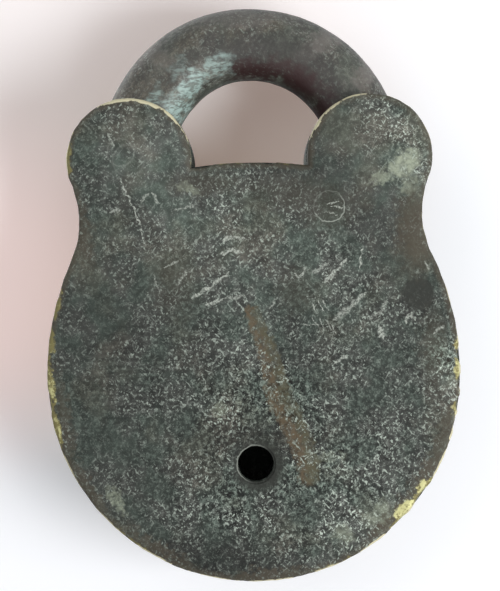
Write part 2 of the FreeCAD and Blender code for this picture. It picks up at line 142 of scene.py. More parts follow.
# The long rubbed streak and the olive band on its right: x, z of its turns and its half width there.
STREAK = (
    (-0.6, 28, 1.1), (0.4, 25.6, 1.25), (1.7, 21.2, 1.25), (2.7, 16.7, 1.2), (3.4, 12.2, 1.3),
    (5.1, 8.4, 1.4), (7.4, 3.9, 1.45), (8.6, 0.2, 1.4), (9.1, -3, 1.3),
)
OLIVE = (
    (0.6, 27.8, 0.9), (3.1, 21.6, 1), (4.3, 17.2, 1.3), (5.6, 13, 1.3), (7.4, 8.8, 1.2), (9.4, 4.6, 1.2),
    (10.2, 0.6, 1.3), (10.3, -3, 1.5),
)
# Pale green rubs on the back plate: x, z, half sizes, turn in degrees, how strong.
GREEN_RUBS = (
    (28.2, 54.3, 3.6, 2.2, 35, 1), (24.6, 52.2, 3.4, 1.1, 20, 0.6), (29.3, 50.8, 1.8, 2.6, 0, 0.5),
    (-25.6, -6.2, 1.1, 3.2, 30, 0.6), (21.9, -9.6, 3.6, 2.2, 40, 0.45), (15.6, -13.2, 2.6, 1.8, -30, 0.4),
    (-11.4, 50.6, 2.6, 1, -20, 0.45), (-6.4, 9.8, 1.6, 1.4, 0, 0.35), (12.5, 1, 4, 1.2, 0, 0.35),
)
# Places where the brown shows: x, z, half sizes, turn, how strong.
BROWN_RUBS = (
    (30.2, 42.6, 4.2, 9, 0, 1), (8, 49, 13, 4, -6, 0.35), (-8, 51.5, 8, 2.6, 0, 0.4),
    (-31, 43, 2.2, 8, 8, 0.7), (-14, 33, 5, 7, 0, 0.3), (33, 20, 3, 8, 0, 0.5),
    (31.4, -2.4, 2.2, 8, -32, 1), (8, 32, 4, 5, 0, 0.3), (14, 46.6, 6, 5, 0, 0.35),
    (-34.8, 8, 1.6, 12, 8, 0.6), (-31.5, -3, 9, 1.4, -57, 0.6), (-18, -15.2, 9, 1.4, -31, 0.7),
    (2, -20.6, 12, 1.6, 3, 0.8), (26, -9.4, 10, 2, 45, 1), (34.4, 4.5, 1.8, 8, -18, 0.8),
)
# Bare brass along the back plate's edge: x, z, half sizes, turn, how far it reaches inwards from 0 to 1.
BRASS_RUBS = (
    (30, -4.4, 2.4, 2.4, 0, 0.8), (26.6, -8.8, 3.8, 3.8, 0, 0.86), (37.3, 16.7, 2, 2.8, 0, 0.66),
    (36.6, 21.5, 1.6, 1.4, 0, 0.5), (37, 9.4, 1.8, 1.6, 0, 0.6), (-36.8, 22, 2, 4.5, 0, 0.5),
    (-37.2, 14.5, 2.2, 4.5, 0, 0.66), (-36.4, 7, 2, 5, 0, 0.6), (-35.6, 30, 1.6, 4, 0, 0.4),
    (-33.4, 57, 1.8, 6, 0, 0.4), (12.6, -20.3, 9, 2, 22, 0.24), (-22, -13.6, 7, 2, -42, 0.25),
)
# Where the outermost corner of the edge gets a thin painted highlight: x, z, half sizes, turn, how wide.
EDGE_HIGHLIGHT_RUBS = (
    (-23.6, 67.6, 5, 3, 0, 0.9), (-18, 66.8, 4.2, 3, 0, 1), (-13.8, 63.4, 3, 3.4, 0, 0.75),
    (-11.8, 58.8, 1.8, 4, 0, 0.35), (-33.7, 57.4, 1.8, 7, 0, 0.4), (12.8, 61.6, 2.2, 3, 0, 0.8),
    (15.6, 64.9, 3, 2.6, 0, 0.75), (19.4, 66.8, 3.4, 2.4, 0, 0.55), (27.4, 66.2, 4.6, 2.6, 0, 0.3),
    (32.6, 60, 2.2, 5, 0, 0.3), (-33.6, -1, 3, 6, 0, 0.45), (-27.6, -10.4, 4.6, 4.6, 0, 0.5),
    (-19.6, -16.4, 5.6, 3.2, 0, 0.55), (-9, -20.8, 7, 2.4, 0, 0.45), (3, -21.8, 7, 2, 0, 0.5),
    (13.4, -19.8, 5.4, 2.6, 0, 0.5), (21.6, -15, 4.4, 3.4, 0, 0.6), (28.4, -8.4, 3.6, 4.2, 0, 0.55),
    (33.6, -1, 3, 5, 0, 0.6), (36.6, 6.6, 2.2, 5, 0, 0.6), (37.8, 18, 2, 7, 0, 0.55),
    (36, 30, 2, 6, 0, 0.35), (-3, 55.4, 8, 1.6, 0, 0.2),
)
# Where the patina is more speckled or, below 0, calmer: x, z, half sizes, turn, how much.
SPECKLE_RUBS = (
    (3, 4, 14, 14, 0, 0.94), (6, -8, 20, 8, 0, 0.69), (6, 12, 4.5, 5, 0, 1.2), (-18, 55, 14, 14, 0, -0.48),
    (-30, 28, 14, 14, 0, -0.37), (14, 56, 14, 14, 0, -0.46), (36, 19, 4, 4, 0, 1.1),
    (-6, 37, 20, 8, 0, -0.25), (3, 4, 10, 4, 0, -0.61), (18, 1, 10, 4, 30, 0.47),
    (-27, -2, 8, 20, 0, -0.26), (26, 42, 8, 11, 0, -0.42), (-3, 13, 10, 4, 0, 0.42),
    (6, -8, 10, 4, 0, -0.66), (-6, -8, 4, 4, 0, 0.59),
)
# Where the colour is made lighter or, below 0, darker: x, z, half sizes, turn, how much.
TONE_RUBS = (
    (-15, 52, 14, 14, 0, 0.98), (27, 61, 14, 14, 0, 0.85), (3, 37, 14, 14, 0, 0.57), (36, 16, 8, 3, -60, 1),
    (21, -11, 14, 14, 0, 0.34), (-21, 61, 20, 8, 0, 0.32), (-12, -20, 20, 8, 0, -0.5),
    (18, 31, 8, 20, 0, 0.28), (0, 22, 6, 6, 0, 0.5), (-21, 37, 20, 8, 0, 0.25), (0, 4, 10, 4, 0, -0.45),
    (6, 28, 4, 10, 0, -0.35), (-21, 46, 8, 3, -60, -0.6), (36, 7, 14, 14, 0, 0.25),
    (30, 49, 8, 20, 0, 0.27), (-9, 52, 6, 6, 0, -0.5),
)
# Fine level marks left by a file: x, z, half sizes, turn, strength.
FILE_RUBS = ((-23, 17, 9, 11, 0, 1), (29, 43, 4, 6, 0, 0.7), (14, 25, 7, 6, 0, 0.4))
# On the bow, in the same way: blue green bloom with a painted highlight, red brown rust and painted shade,
# dark scale and painted shade, and a painted highlight on the lighter outer side.
BLOOM_AND_HIGHLIGHT_RUBS = (
    (-6, 73.4, 3.6, 2, 25, 0.65), (-10.6, 70, 4.4, 1.9, 48, 0.95), (-13.6, 65.8, 3.4, 2.6, 55, 1),
    (-17.4, 67, 1.6, 3.4, -20, 0.55), (-12.6, 73.4, 2.6, 1.4, 40, 0.35),
)
RUST_AND_SHADE_RUBS = ((2, 72.8, 7.5, 2, 0, 0.95), (9.5, 70.6, 6, 3, -38, 1), (14, 65, 2.6, 5, -20, 1))
DARK_SCALE_AND_SHADE_RUBS = (
    (2, 76, 12, 3.6, 0, 0.75), (12, 73, 9, 3.6, -40, 0.7), (-12, 73.6, 8, 2, 38, 0.5),
    (-17.5, 69, 2.5, 5, 30, 0.4),
)
BOW_HIGHLIGHT_RUBS = (
    (-2, 82.6, 12, 2.2, 0, 0.35), (-17, 76.5, 9, 2, -45, 0.3), (15, 78.6, 9, 2.4, 42, 0.6),
    (22, 71.5, 5, 2.2, 62, 0.6),
)
# Dents in the edge: x, z, reach, depth, in millimetres.
EDGE_DENTS = (
    (38, 19, 1.6, 0.45), (37.9, 14.2, 1.2, 0.5), (37.6, 10.4, 1.3, 0.4), (37, 6.6, 1.6, 0.35),
    (30.3, -6.6, 2.2, 0.35), (26, -11.8, 2.4, 0.3), (-37.6, 12, 2, 0.25), (-34.5, 31.5, 1.6, 0.3),
    (3.5, 55.4, 1.2, 0.3), (-9, 54.9, 2, 0.25), (31.9, 51.2, 1.4, 0.25), (-33.3, 51.5, 1.5, 0.3),
)
# Smooth dark skin, where something rubbed: x, z, radius, how soft its side is.
BACK_DISCS = ((30.4, 30.4, 2.95, 0.35), (0.6, -0.6, 4.6, 1.1))
# Thin bright rings of bare metal, with a painted highlight on the side they are lit from: x, z, radius,
# width, then where they are lit from, and the least and the most brightness.
BACK_RINGS = (
    (14.4, 46.8, 2.85, 0.17, 0.6, -0.8, 0.15, 0.55), (0, 0, 3.45, 0.18, -0.9, 0.44, 0, 0.5),
    (-22.1, 56, 2.9, 0.24, 0, 0, 0.1, 0.1), (-23.5, 57.5, 2.5, 0.2, 0, 0, 0.12, 0.12),
)
# The same kinds of marks on the case's front, round the keyhole cover.
FRONT_SCRATCHES = (
    (-20, 38, -9, 41.5, 0.3, 0.8), (-17.5, 36, -10.5, 38.2, 0.22, 0.7), (12, 44, 21, 39.5, 0.26, 0.7),
    (16, 47.5, 24, 45, 0.3, 0.6), (-27, 20, -22, 29, 0.28, 0.7), (-25, 18.5, -21.5, 24, 0.2, 0.6),
    (20, 6, 27.5, 12, 0.34, 0.75), (22.5, 4.5, 28, 9, 0.24, 0.6), (-21, -6, -14, -11.5, 0.3, 0.7),
    (10.5, 32, 14.5, 25, 0.24, 0.6), (-13, 28, -8, 31, 0.3, 0.6), (2, 46, 6.5, 50, 0.3, 0.6),
    (-4, 36, 3, 34.5, 0.26, 0.7), (26, 26, 31, 23, 0.34, 0.6), (-31, 8, -28.5, 1, 0.3, 0.6),
    (13, -8, 20, -5, 0.3, 0.7), (-18, 56, -26, 60, 0.28, 0.6), (20, 60, 25.5, 55, 0.28, 0.7),
)
FRONT_GREEN = (
    (-27, 59, 4, 2.4, 30, 0.8), (24, 4, 4, 2.6, -40, 0.5), (-16, 2, 2.6, 4, 20, 0.4),
    (4, 49, 6, 1.6, 5, 0.4),
)
FRONT_BROWN = (
    (0, 30, 9, 7, 0, 0.6), (-30, 42, 3, 9, 0, 0.8), (30, 42, 3, 9, 0, 0.7), (0, -18.5, 16, 3, 0, 0.7),
    (33, 10, 3, 12, 0, 0.7), (-33, 18, 3, 10, 0, 0.6), (0, 52.5, 12, 3, 0, 0.6), (17, 30, 5, 8, 20, 0.4),
)
FRONT_BRASS = (
    (-24, 66.6, 6, 3, 0, 0.7), (22, 67, 7, 2.6, 0, 0.7), (34, 58, 2.4, 5, 0, 0.6),
    (-35.5, 6, 3, 7, 0, 0.75), (-27, -10.5, 4.6, 4.6, 0, 0.8), (37, 20, 2.4, 8, 0, 0.7),
    (22, -15, 6, 4, 0, 0.75), (0, -21.6, 8, 2.4, 0, 0.6), (-34.5, 32, 2.6, 5, 0, 0.5),
    (0, 55.3, 9, 1.6, 0, 0.5),
)
# Painted highlights along the front's outermost corners: x, z, half sizes, turn, how wide.
FRONT_EDGE_HIGHLIGHTS = ((0, 16.3, 52, 52, 0, 0.45), (-22, 58, 14, 14, 0, 0.6), (22, 58, 14, 14, 0, 0.6))
FRONT_SPECKLE = (
    (0, 12, 16, 22, 0, -0.35), (-28, 44, 9, 14, 0, -0.3), (22, 58, 12, 10, 0, -0.35),
    (30, 14, 7, 18, 0, -0.3), (-20, -6, 12, 8, 0, 0.3), (18, -10, 10, 6, 0, 0.3),
)
FRONT_TONES = (
    (0, 36, 24, 12, 0, 0.3), (0, 0, 26, 20, 0, 0.2), (-22, 58, 12, 10, 0, 0.3), (22, 58, 12, 10, 0, 0.25),
)
FRONT_DISCS = ((30.4, 30.4, 2.95, 0.3), (-23.05, -6.75, 2.95, 0.3), (0, 0, 5.4, 1.4))
FRONT_RINGS = (
    (14.4, 46.8, 2.9, 0.2, 0, 0, 0.3, 0.3), (-30.4, 30.4, 2.9, 0.2, 0, 0, 0.3, 0.3),
    (23.05, -6.75, 2.9, 0.2, 0, 0, 0.3, 0.3), (-22.1, 56, 2.9, 0.22, 0, 0, 0.35, 0.35),
)
BACK_TABLES = {
    "Scratches": SCRATCHES, "Streak": STREAK, "Olive": OLIVE, "Green": GREEN_RUBS,
    "Brown": BROWN_RUBS, "Brass": BRASS_RUBS, "Line": EDGE_HIGHLIGHT_RUBS, "Polish": BACK_DISCS, "Rings": BACK_RINGS,
    "Grain Share": SPECKLE_RUBS, "Tone": TONE_RUBS, "Filed": FILE_RUBS,
}
FRONT_TABLES = {
    "Scratches": FRONT_SCRATCHES, "Streak": (), "Olive": (), "Green": FRONT_GREEN,
    "Brown": FRONT_BROWN, "Brass": FRONT_BRASS, "Line": FRONT_EDGE_HIGHLIGHTS, "Polish": FRONT_DISCS,
    "Rings": FRONT_RINGS, "Grain Share": FRONT_SPECKLE, "Tone": FRONT_TONES, "Filed": (),
}
MARKS = (
    "Scratches", "Streak", "Olive", "Green", "Brown", "Brass", "Line", "Polish", "Rings",
    "Grain Share", "Tone",
)


def tone(red, green, blue):
    """A colour written as it shows on a screen, 0 to 255, as the plain light values that Blender works in."""
    return tuple(
        c / 12.92 if c <= 0.04045 else ((c + 0.055) / 1.055) ** 2.4
        for c in (red / 255, green / 255, blue / 255)
    )


def length_of(name, description, default):
    return FloatProperty(name=name, description=description, default=default, min=0.0, unit="LENGTH")


def colour_of(name, description, default):
    return FloatVectorProperty(
        name=name, description=description, default=default, subtype="COLOR", size=3, min=0.0, max=1.0
    )


class PadlockSizes(bpy.types.PropertyGroup):
    """Sizes of the modelled pieces; they repeat the case's own arcs."""

    body_radius: length_of("Body Radius", "Radius of the round body", 38.0 * MM)
    body_height: length_of("Body Centre Height", "Body's centre above the key's axis", 16.3 * MM)
    shoulder_radius: length_of("Shoulder Radius", "Flatter arc from the widest point to the waist", 51.0 * MM)
    waist_radius: length_of("Waist Radius", "Hollow arc under each ear", 17.2 * MM)
    ear_radius: length_of("Ear Radius", "Round ear beside the shackle", 11.6 * MM)
    ear_offset: length_of("Ear Offset", "Ear's centre from the middle line", 22.1 * MM)
    ear_height: length_of("Ear Height", "Ear's centre above the key's axis", 56.0 * MM)
    crown_radius: length_of("Crown Radius", "Shallow arc between the ears", 82.0 * MM)
    crown_height: length_of("Crown Height", "Top of that arc above the key's axis", 55.36 * MM)
    plate_thickness: length_of("Plate Thickness", "Thickness of the back plate", BACK_HIGH.y)
    edge_round: length_of("Edge Round", "Round worn on the plate's outer edge", 0.9 * MM)
    edge_wear: length_of("Edge Wear", "How deep wear bites into the edges", 0.32 * MM)
    rivet_hole_radius: length_of("Rivet Hole Radius", "Holes for the flush rivets", 2.97 * MM)
    nose_hole_radius: length_of("Key Nose Hole Radius", "Hole for the tip of the key", 3.3 * MM)
    nose_hole_lip: length_of("Key Nose Hole Lip", "Chamfer round that hole", 0.4 * MM)
    forge_dip: length_of("Forge Dip", "Unevenness left by the hammer on the bow", 0.22 * MM)
    bow_lean: length_of("Bow Lean", "How far the bow's left leg leans inwards", 1.1 * MM)
    cover_top_radius: length_of("Cover Top Radius", "Round top of the keyhole cover", 5.0 * MM)
    cover_drop_radius: length_of("Cover Drop Radius", "Round lower end of the keyhole cover", 10.75 * MM)
    cover_drop_height: FloatProperty(
        name="Cover Drop Height",
        description="Centre of the cover's lower end",
        default=-4.25 * MM,
        unit="LENGTH",
    )


class PadlockFinish(bpy.types.PropertyGroup):
    """Colours of the finishes."""

    patina: colour_of("Patina", "Dark grey green ground of the case", tone(56, 58, 55))
    patina_cool: colour_of("Cool Patina", "Greener ground between the grey", tone(54, 61, 56))
    # Pale flecks, partly painted glints off the pitted patina.
    fleck: colour_of("Fleck", "Pale flecks in the patina", tone(170, 181, 170))
    brown: colour_of("Brown", "Brown tarnish", tone(82, 75, 63))
    polish: colour_of("Polish", "Dark skin where the key's tip and a rivet rubbed smooth", tone(47, 49, 45))
    copper: colour_of("Copper", "Rubbed brown streak", tone(93, 81, 63))
    verdigris: colour_of("Verdigris", "Pale green bloom", tone(164, 172, 152))
    # Bare brass; its brightest spots on the edges are painted glints, with the brass shade between them.
    brass: colour_of("Brass", "Bare brass on worn edges", tone(186, 184, 134))
    brass_shade: colour_of("Brass Shade", "Half bare brass between the bright spots", tone(118, 112, 74))
    # A painted highlight on the outermost corner of the worn edges.
    edge_highlight: colour_of("Edge Highlight", "Bright outermost corner of the worn edges", tone(214, 208, 176))
    # Dirt and painted shade along the keyhole cover's outline.
    grime_and_shade: colour_of("Grime And Shade", "Dark dirt along the keyhole cover", tone(30, 31, 28))
    scratch: colour_of("Scratch", "Strokes and rings that show bare metal", tone(190, 196, 186))
    # Scratch colour also paints the highlight on the lit side of the rings.
    olive: colour_of("Olive", "Olive band beside the streak", tone(84, 81, 64))
    iron: colour_of("Iron", "Dark ground of the forged shackle", tone(74, 72, 67))
    iron_green: colour_of("Iron Green", "Greener ground of the shackle", tone(70, 73, 66))
    # On the bow: a painted highlight on its outer side, painted shade with the dark scale and the red brown
    # rust, a painted highlight with the bloom.
    iron_highlight: colour_of("Iron Highlight", "Lighter grey brown of the bow's outer side", tone(122, 117, 112))
    iron_dark_and_shade: colour_of("Iron Dark And Shade", "Darker scale along the bow's middle", tone(42, 40, 37))
    iron_rust_and_shade: colour_of("Iron Rust And Shade", "Red brown shade on the bow", tone(46, 25, 25))
    iron_bloom_and_highlight: colour_of("Iron Bloom And Highlight", "Blue green bloom on the bow", tone(166, 190, 184))
    steel: colour_of("Steel", "Posts and springs inside", tone(120, 120, 116))
    stage: colour_of("Stage", "Pale table under the lock", tone(246, 248, 251))
    stage_shade: colour_of("Stage Shade", "Uneven shade of the table", (0.84, 0.83, 0.86))
    # Painted glow: warm, where the lock's shadow falls on the table near the bow.
    stage_warm: colour_of("Warm Stage Glow", "Faint glow of the table near the bow", (0.15, 0.08, 0.052))
    stage_cool: colour_of("Cool Stage Glow", "Faint glow of the table elsewhere", (0.13, 0.13, 0.14))
    # Painted glow: pink, where the lock's shadow falls on the table beside it.
    stage_pink_glow: colour_of("Stage Pink Glow", "Pink glow of the table beside the lock", (0.33, 0.18, 0.145))


# ---- hand work on meshes
def rest_hands():
    """Leaves edit mode and lets go of everything."""
    if bpy.context.object and bpy.context.object.mode != "OBJECT":
        bpy.ops.object.mode_set(mode="OBJECT")
    bpy.ops.object.select_all(action="DESELECT")


def take(piece):
    """Makes one piece the active, selected one."""
    rest_hands()
    piece.select_set(True)
    bpy.context.view_layer.objects.active = piece
    return piece


def settle(piece):
    """Takes a piece and moves its origin to the scene's."""
    take(piece)
    bpy.ops.object.transform_apply(location=True, rotation=True, scale=True)


def everything():
    bpy.ops.mesh.select_all(action="SELECT")


def edit(piece, mode="VERT"):
    take(piece)
    bpy.ops.object.mode_set(mode="EDIT")
    bpy.ops.mesh.select_mode(type=mode)


def pick(piece, part, test):
    """In edit mode, selects the vertices, edges or faces that pass a test, and nothing else."""
    bpy.ops.mesh.select_all(action="DESELECT")
    work = bmesh.from_edit_mesh(piece.data)
    for item in getattr(work, part):
        if test(item):
            item.select_set(True)
    bmesh.update_edit_mesh(piece.data)


def new_piece(name, place):
    """One point to draw from: a small square gathered into its centre."""
    rest_hands()
    bpy.ops.mesh.primitive_plane_add(size=MM, location=place)
    piece = bpy.context.object
    piece.name = name
    piece.data.name = name
    edit(piece)
    everything()
    bpy.ops.mesh.merge(type="CENTER")
    return piece


def spin_on(centre, degrees):
    """Draws on from the selected point along an arc about (x, z), counter-clockwise as seen from the back."""
    drawn = bpy.context.object
    here = next(v.co for v in bmesh.from_edit_mesh(drawn.data).verts if v.select) + drawn.location
    reach = math.hypot(here.x - centre[0], here.z - centre[1])
    angle = math.radians(degrees)
    steps = max(3, round(abs(angle) * reach / ARC_STEP))
    bpy.ops.mesh.spin(steps=steps, angle=angle, center=(centre[0], here.y, centre[1]), axis=(0, 1, 0))


def modify(piece, kind, **settings):
    """Adds a modifier, gives it its settings and applies it."""
    take(piece)
    modifier = piece.modifiers.new(kind.title(), kind)
    for name, value in settings.items():
        setattr(modifier, name, value)
    bpy.ops.object.modifier_apply(modifier=modifier.name)


def pull(way, reach):
    """Moves what is selected, and less and less of what lies up to reach around it."""
    bpy.ops.transform.translate(
        value=way,
        use_proportional_edit=True,
        proportional_edit_falloff="SMOOTH",
        proportional_size=reach,
    )


def cut(piece, cutter):
    modify(piece, "BOOLEAN", object=cutter, operation="DIFFERENCE", solver="EXACT")
    bpy.data.objects.remove(cutter)


def drill(piece, place, radius, y0, y1, far_radius=None):
    """Cuts a round hole along Y; with far_radius the hole tapers to it."""
    rest_hands()
    bpy.ops.mesh.primitive_cone_add(
        vertices=HOLE_SIDES,
        radius1=radius if far_radius is None else far_radius,
        radius2=radius,
        depth=y1 - y0,
        location=(place[0], (y0 + y1) / 2, place[1]),
        rotation=(math.pi / 2, 0, 0),
    )
    cut(piece, bpy.context.object)


def wear_down(piece, name, grain, depth, group=""):
    """Takes material off unevenly, and never adds any."""
    clouds = bpy.data.textures.new(name, "CLOUDS")
    clouds.noise_scale = grain
    clouds.noise_depth = 3
    modify(
        piece,
        "DISPLACE",
        texture=clouds,
        texture_coords="LOCAL",
        direction="NORMAL",
        strength=depth,
        mid_level=1.0,
        vertex_group=group,
    )


def copy_of(node, name):
    """A CAD piece's shape as a new piece, with its loose triangles joined."""
    piece = bpy.data.objects.new(name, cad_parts[node].data.copy())
    piece.data.name = name
    bpy.context.scene.collection.objects.link(piece)
    edit(piece)
    everything()
    bpy.ops.mesh.remove_doubles(threshold=0.002 * MM)
    rest_hands()
    return piece


def complete(piece, body, nodes, material, smooth=35.0):
    """Puts the origin back, smooths the shading, gives the piece its material, hangs it on its body and hides
    the CAD pieces that it stands for.
    """
    settle(piece)
    bpy.ops.object.shade_smooth_by_angle(angle=math.radians(smooth))
    piece.data.materials.clear()
    piece.data.materials.append(material)
    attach(piece, body)
    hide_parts(*nodes)
    rest_hands()


def coat(nodes, material):
    """Gives CAD pieces that stay as they are their finish."""
    for name in nodes:
        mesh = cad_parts[name].data
        mesh.materials.clear()
        mesh.materials.append(material)


# ---- drawing the case's outline
def bearing(centre, point):
    return math.degrees(math.atan2(point[1] - centre[1], point[0] - centre[0]))


def meeting(c0, r0, c1, r1, side):
    """Where two circles cross, to the left (1) or right (-1) of the way from c0 to c1."""
    d = math.dist(c0, c1)
    along = (d * d + r0 * r0 - r1 * r1) / (2 * d)
    aside = side * math.sqrt(r0 * r0 - along * along)
    ux, uz = (c1[0] - c0[0]) / d, (c1[1] - c0[1]) / d
    return c0[0] + along * ux - aside * uz, c0[1] + along * uz + aside * ux


def case_arcs(sizes):
    """Centres (x, z) of the arcs that bound the case's right half, from the lowest to the crown's."""
    body = (0.0, sizes.body_height)
    shoulder = (sizes.body_radius - sizes.shoulder_radius, sizes.body_height)
    ear = (sizes.ear_offset, sizes.ear_height)
    crown = (0.0, sizes.crown_height - sizes.crown_radius)
    hollow = sizes.waist_radius
    waist = meeting(shoulder, sizes.shoulder_radius + hollow, ear, sizes.ear_radius + hollow, -1)
    return body, shoulder, waist, ear, crown


def draw_case_outline(sizes):
    """The right half by arcs that run into each other, from the lowest point to the crown."""
    body, shoulder, waist, ear, crown = case_arcs(sizes)
    corner = meeting(crown, sizes.crown_radius, ear, sizes.ear_radius, 1)
    to_waist = bearing(shoulder, waist)
    spin_on(body, 90.0)
    spin_on(shoulder, to_waist)
    spin_on(waist, bearing(waist, ear) - to_waist - 180.0)
    spin_on(ear, (bearing(ear, corner) - bearing(ear, waist)) % 360.0)
    spin_on(crown, 90.0 - bearing(crown, corner))


def make_solid(piece, thick):
    """Mirrors a drawn right half, fills the outline and draws it out along Y. Returns its points."""
    everything()
    bpy.ops.mesh.symmetrize(direction="POSITIVE_X", threshold=TOUCH)
    settle(piece)
    outline = [v.co.copy() for v in piece.data.vertices]
    edit(piece)
    everything()
    bpy.ops.mesh.edge_face_add()
    bpy.ops.mesh.extrude_region_move(TRANSFORM_OT_translate={"value": (0, thick, 0)})
    everything()
    bpy.ops.mesh.normals_make_consistent(inside=False)
    return outline


def round_face(piece, face_y, side, radius, steps, rings):
    """Rounds the outline of the face at face_y that looks along side (1 or -1), and cuts rings into it."""
    bpy.ops.mesh.select_mode(type="EDGE")
    pick(piece, "edges", lambda e: all(side * (v.co.y - face_y) > -TOUCH for v in e.verts))
    bpy.ops.mesh.bevel(offset=radius, segments=steps, profile=0.5, affect="EDGES")
    bpy.ops.mesh.select_mode(type="FACE")
    pick(piece, "faces", lambda f: side * f.normal.y > 0.999 and len(f.verts) > MANY_CORNERS)
    for width in rings:
        bpy.ops.mesh.inset(thickness=width * MM, depth=0)
    rest_hands()


def rim_shares(piece, outline, reach, inner_y=None):
    """For every vertex, 1 at the outline, 0 from reach inwards, and 0 all over the inner face at inner_y."""
    tree = kdtree.KDTree(len(outline))
    for n, point in enumerate(outline):
        tree.insert((point.x, 0.0, point.z), n)
    tree.balance()
    shares = []
    for v in piece.data.vertices:
        inner = inner_y is not None and abs(v.co.y - inner_y) < INNER_FACE
        shares.append(0.0 if inner else max(0.0, 1.0 - tree.find((v.co.x, 0.0, v.co.z))[2] / reach))
    return shares


def write_attribute(piece, name, values):
    attribute = piece.data.attributes.new(name, "FLOAT", "POINT")
    attribute.data.foreach_set("value", values)


def write_group(piece, name, values):
    group = piece.vertex_groups.new(name=name)
    for n, value in enumerate(values):
        if value > 0.0:
            group.add([n], value, "REPLACE")


# ---- nodes
class Bench:
    """Lays nodes on a tree and wires them as they are asked for."""

    COLUMN, ROW, ROWS = 180, 170, 8

    def __init__(self, tree):
        self.tree = tree
        self.laid = 0

    def node(self, kind, **settings):
        node = self.tree.nodes.new(kind)
        column, row = divmod(self.laid, self.ROWS)
        node.location = (self.COLUMN * column, -self.ROW * row)
        self.laid += 1
        for name, value in settings.items():
            setattr(node, name, value)
        return node

    def wire(self, socket, value):
        if isinstance(value, bpy.types.NodeSocket):
            self.tree.links.new(value, socket)
        elif hasattr(value, "__len__") and socket.type == "RGBA" and len(value) == 3:
            socket.default_value = (*value, 1.0)
        else:
            socket.default_value = value

    def fill(self, sockets, values):
        for name, value in values.items():
            self.wire(sockets[name], value)

    def sum(self, operation, *values):
        node = self.node("ShaderNodeMath", operation=operation)
        for socket, value in zip(node.inputs, values):
            self.wire(socket, value)
        return node.outputs[0]

    def plus(self, *values):
        return self.sum("ADD", *values)

    def minus(self, *values):
        return self.sum("SUBTRACT", *values)

    def times(self, *values):
        return self.sum("MULTIPLY", *values)

    def apart(self, *values):
        """How far two numbers are apart."""
        return self.sum("ABSOLUTE", self.minus(*values))

    def limit(self, value):
        """Keeps a value from 0 to 1, with less of the renderer's memory than a math node's clamp takes."""
        node = self.node("ShaderNodeClamp")
        self.wire(node.inputs[0], value)
        return node.outputs[0]

    def along(self, operation, *values):
        node = self.node("ShaderNodeVectorMath", operation=operation)
        for socket, value in zip(node.inputs, values):
            self.wire(socket, value)
        return node.outputs["Value" if operation in ("DOT_PRODUCT", "LENGTH", "DISTANCE") else "Vector"]

    def scaled(self, vector, factor):
        node = self.node("ShaderNodeVectorMath", operation="SCALE")
        self.fill(node.inputs, {"Vector": vector, "Scale": factor})
        return node.outputs[0]

    def flat(self, place):
        """A place moved into the plane of the plate: x, 0, z."""
        return self.along("MULTIPLY", place, (1, 0, 1))

    def axis(self, place, letter):
        node = self.node("ShaderNodeSeparateXYZ")
        self.wire(node.inputs[0], place)
        return node.outputs[letter]

    def point(self, **values):
        node = self.node("ShaderNodeCombineXYZ")
        self.fill(node.inputs, values)
        return node.outputs[0]

    def noise(self, place, scale, detail=2.0, roughness=0.5, output="Fac"):
        node = self.node("ShaderNodeTexNoise")
        self.fill(node.inputs, {"Vector": place, "Scale": scale, "Detail": detail, "Roughness": roughness})
        return node.outputs[output]

    def shake(self, place, scale, detail):
        """A push that differs from place to place, up to half a unit each way."""
        return self.along("SUBTRACT", self.noise(place, scale, detail, output="Color"), (0.5, 0.5, 0.5))

    def step(self, value, low, high, first=0.0, last=1.0):
        """Runs smoothly from first to last while value goes from low to high."""
        node = self.node("ShaderNodeMapRange", interpolation_type="SMOOTHSTEP", clamp=False)
        for socket, number in zip(node.inputs, (value, low, high, first, last)):
            self.wire(socket, number)
        return node.outputs[0]

    def mix(self, share, first, last):
        """Two colours by their share. A mix node's colours are its sockets 6, 7 and, going out, 2."""
        node = self.node("ShaderNodeMix", data_type="RGBA")
        self.fill(node.inputs, {0: share, 6: first, 7: last})
        return node.outputs[2]

    def place(self):
        return self.node("ShaderNodeTexCoord").outputs["Object"]

    def moved(self, place, offset=(0, 0, 0), turn=(0, 0, 0), scale=(1, 1, 1)):
        node = self.node("ShaderNodeMapping")
        self.fill(node.inputs, {"Vector": place, "Location": offset, "Rotation": turn, "Scale": scale})
        return node.outputs[0]

    def use(self, group, **values):
        node = self.node("ShaderNodeGroup", node_tree=group)
        self.fill(node.inputs, {name.replace("_", " "): value for name, value in values.items()})
        return node.outputs

    def total(self, first, values, more=0.0):
        result = self.plus(first, more) if more else first
        for value in values:
            result = self.plus(result, value)
        return result

    def most(self, values):
        """The strongest of several masks, or 0 when there are none."""
        values = iter(values)
        result = next(values, 0.0)
        for value in values:
            result = self.sum("MAXIMUM", result, value)
        return result


def new_group(name, inputs, outputs):
    """A node group with its sockets: label, kind, and for what goes in also its value, if it has one."""
    kinds = {"value": "NodeSocketFloat", "colour": "NodeSocketColor", "vector": "NodeSocketVector"}
    tree = bpy.data.node_groups.new(name, "ShaderNodeTree")
    for label, kind, *default in inputs:
        socket = tree.interface.new_socket(label, in_out="INPUT", socket_type=kinds[kind])
        for value in default:
            socket.default_value = (*value, 1.0) if kind == "colour" else value
    for label, kind in outputs:
        tree.interface.new_socket(label, in_out="OUTPUT", socket_type=kinds[kind])
    bench = Bench(tree)
    return bench, bench.node("NodeGroupInput").outputs, bench.node("NodeGroupOutput").inputs


def group_named(name, build, *rest):
    """The group of that name, built the first time that it is asked for."""
    return bpy.data.node_groups.get(name) or build(name, *rest)


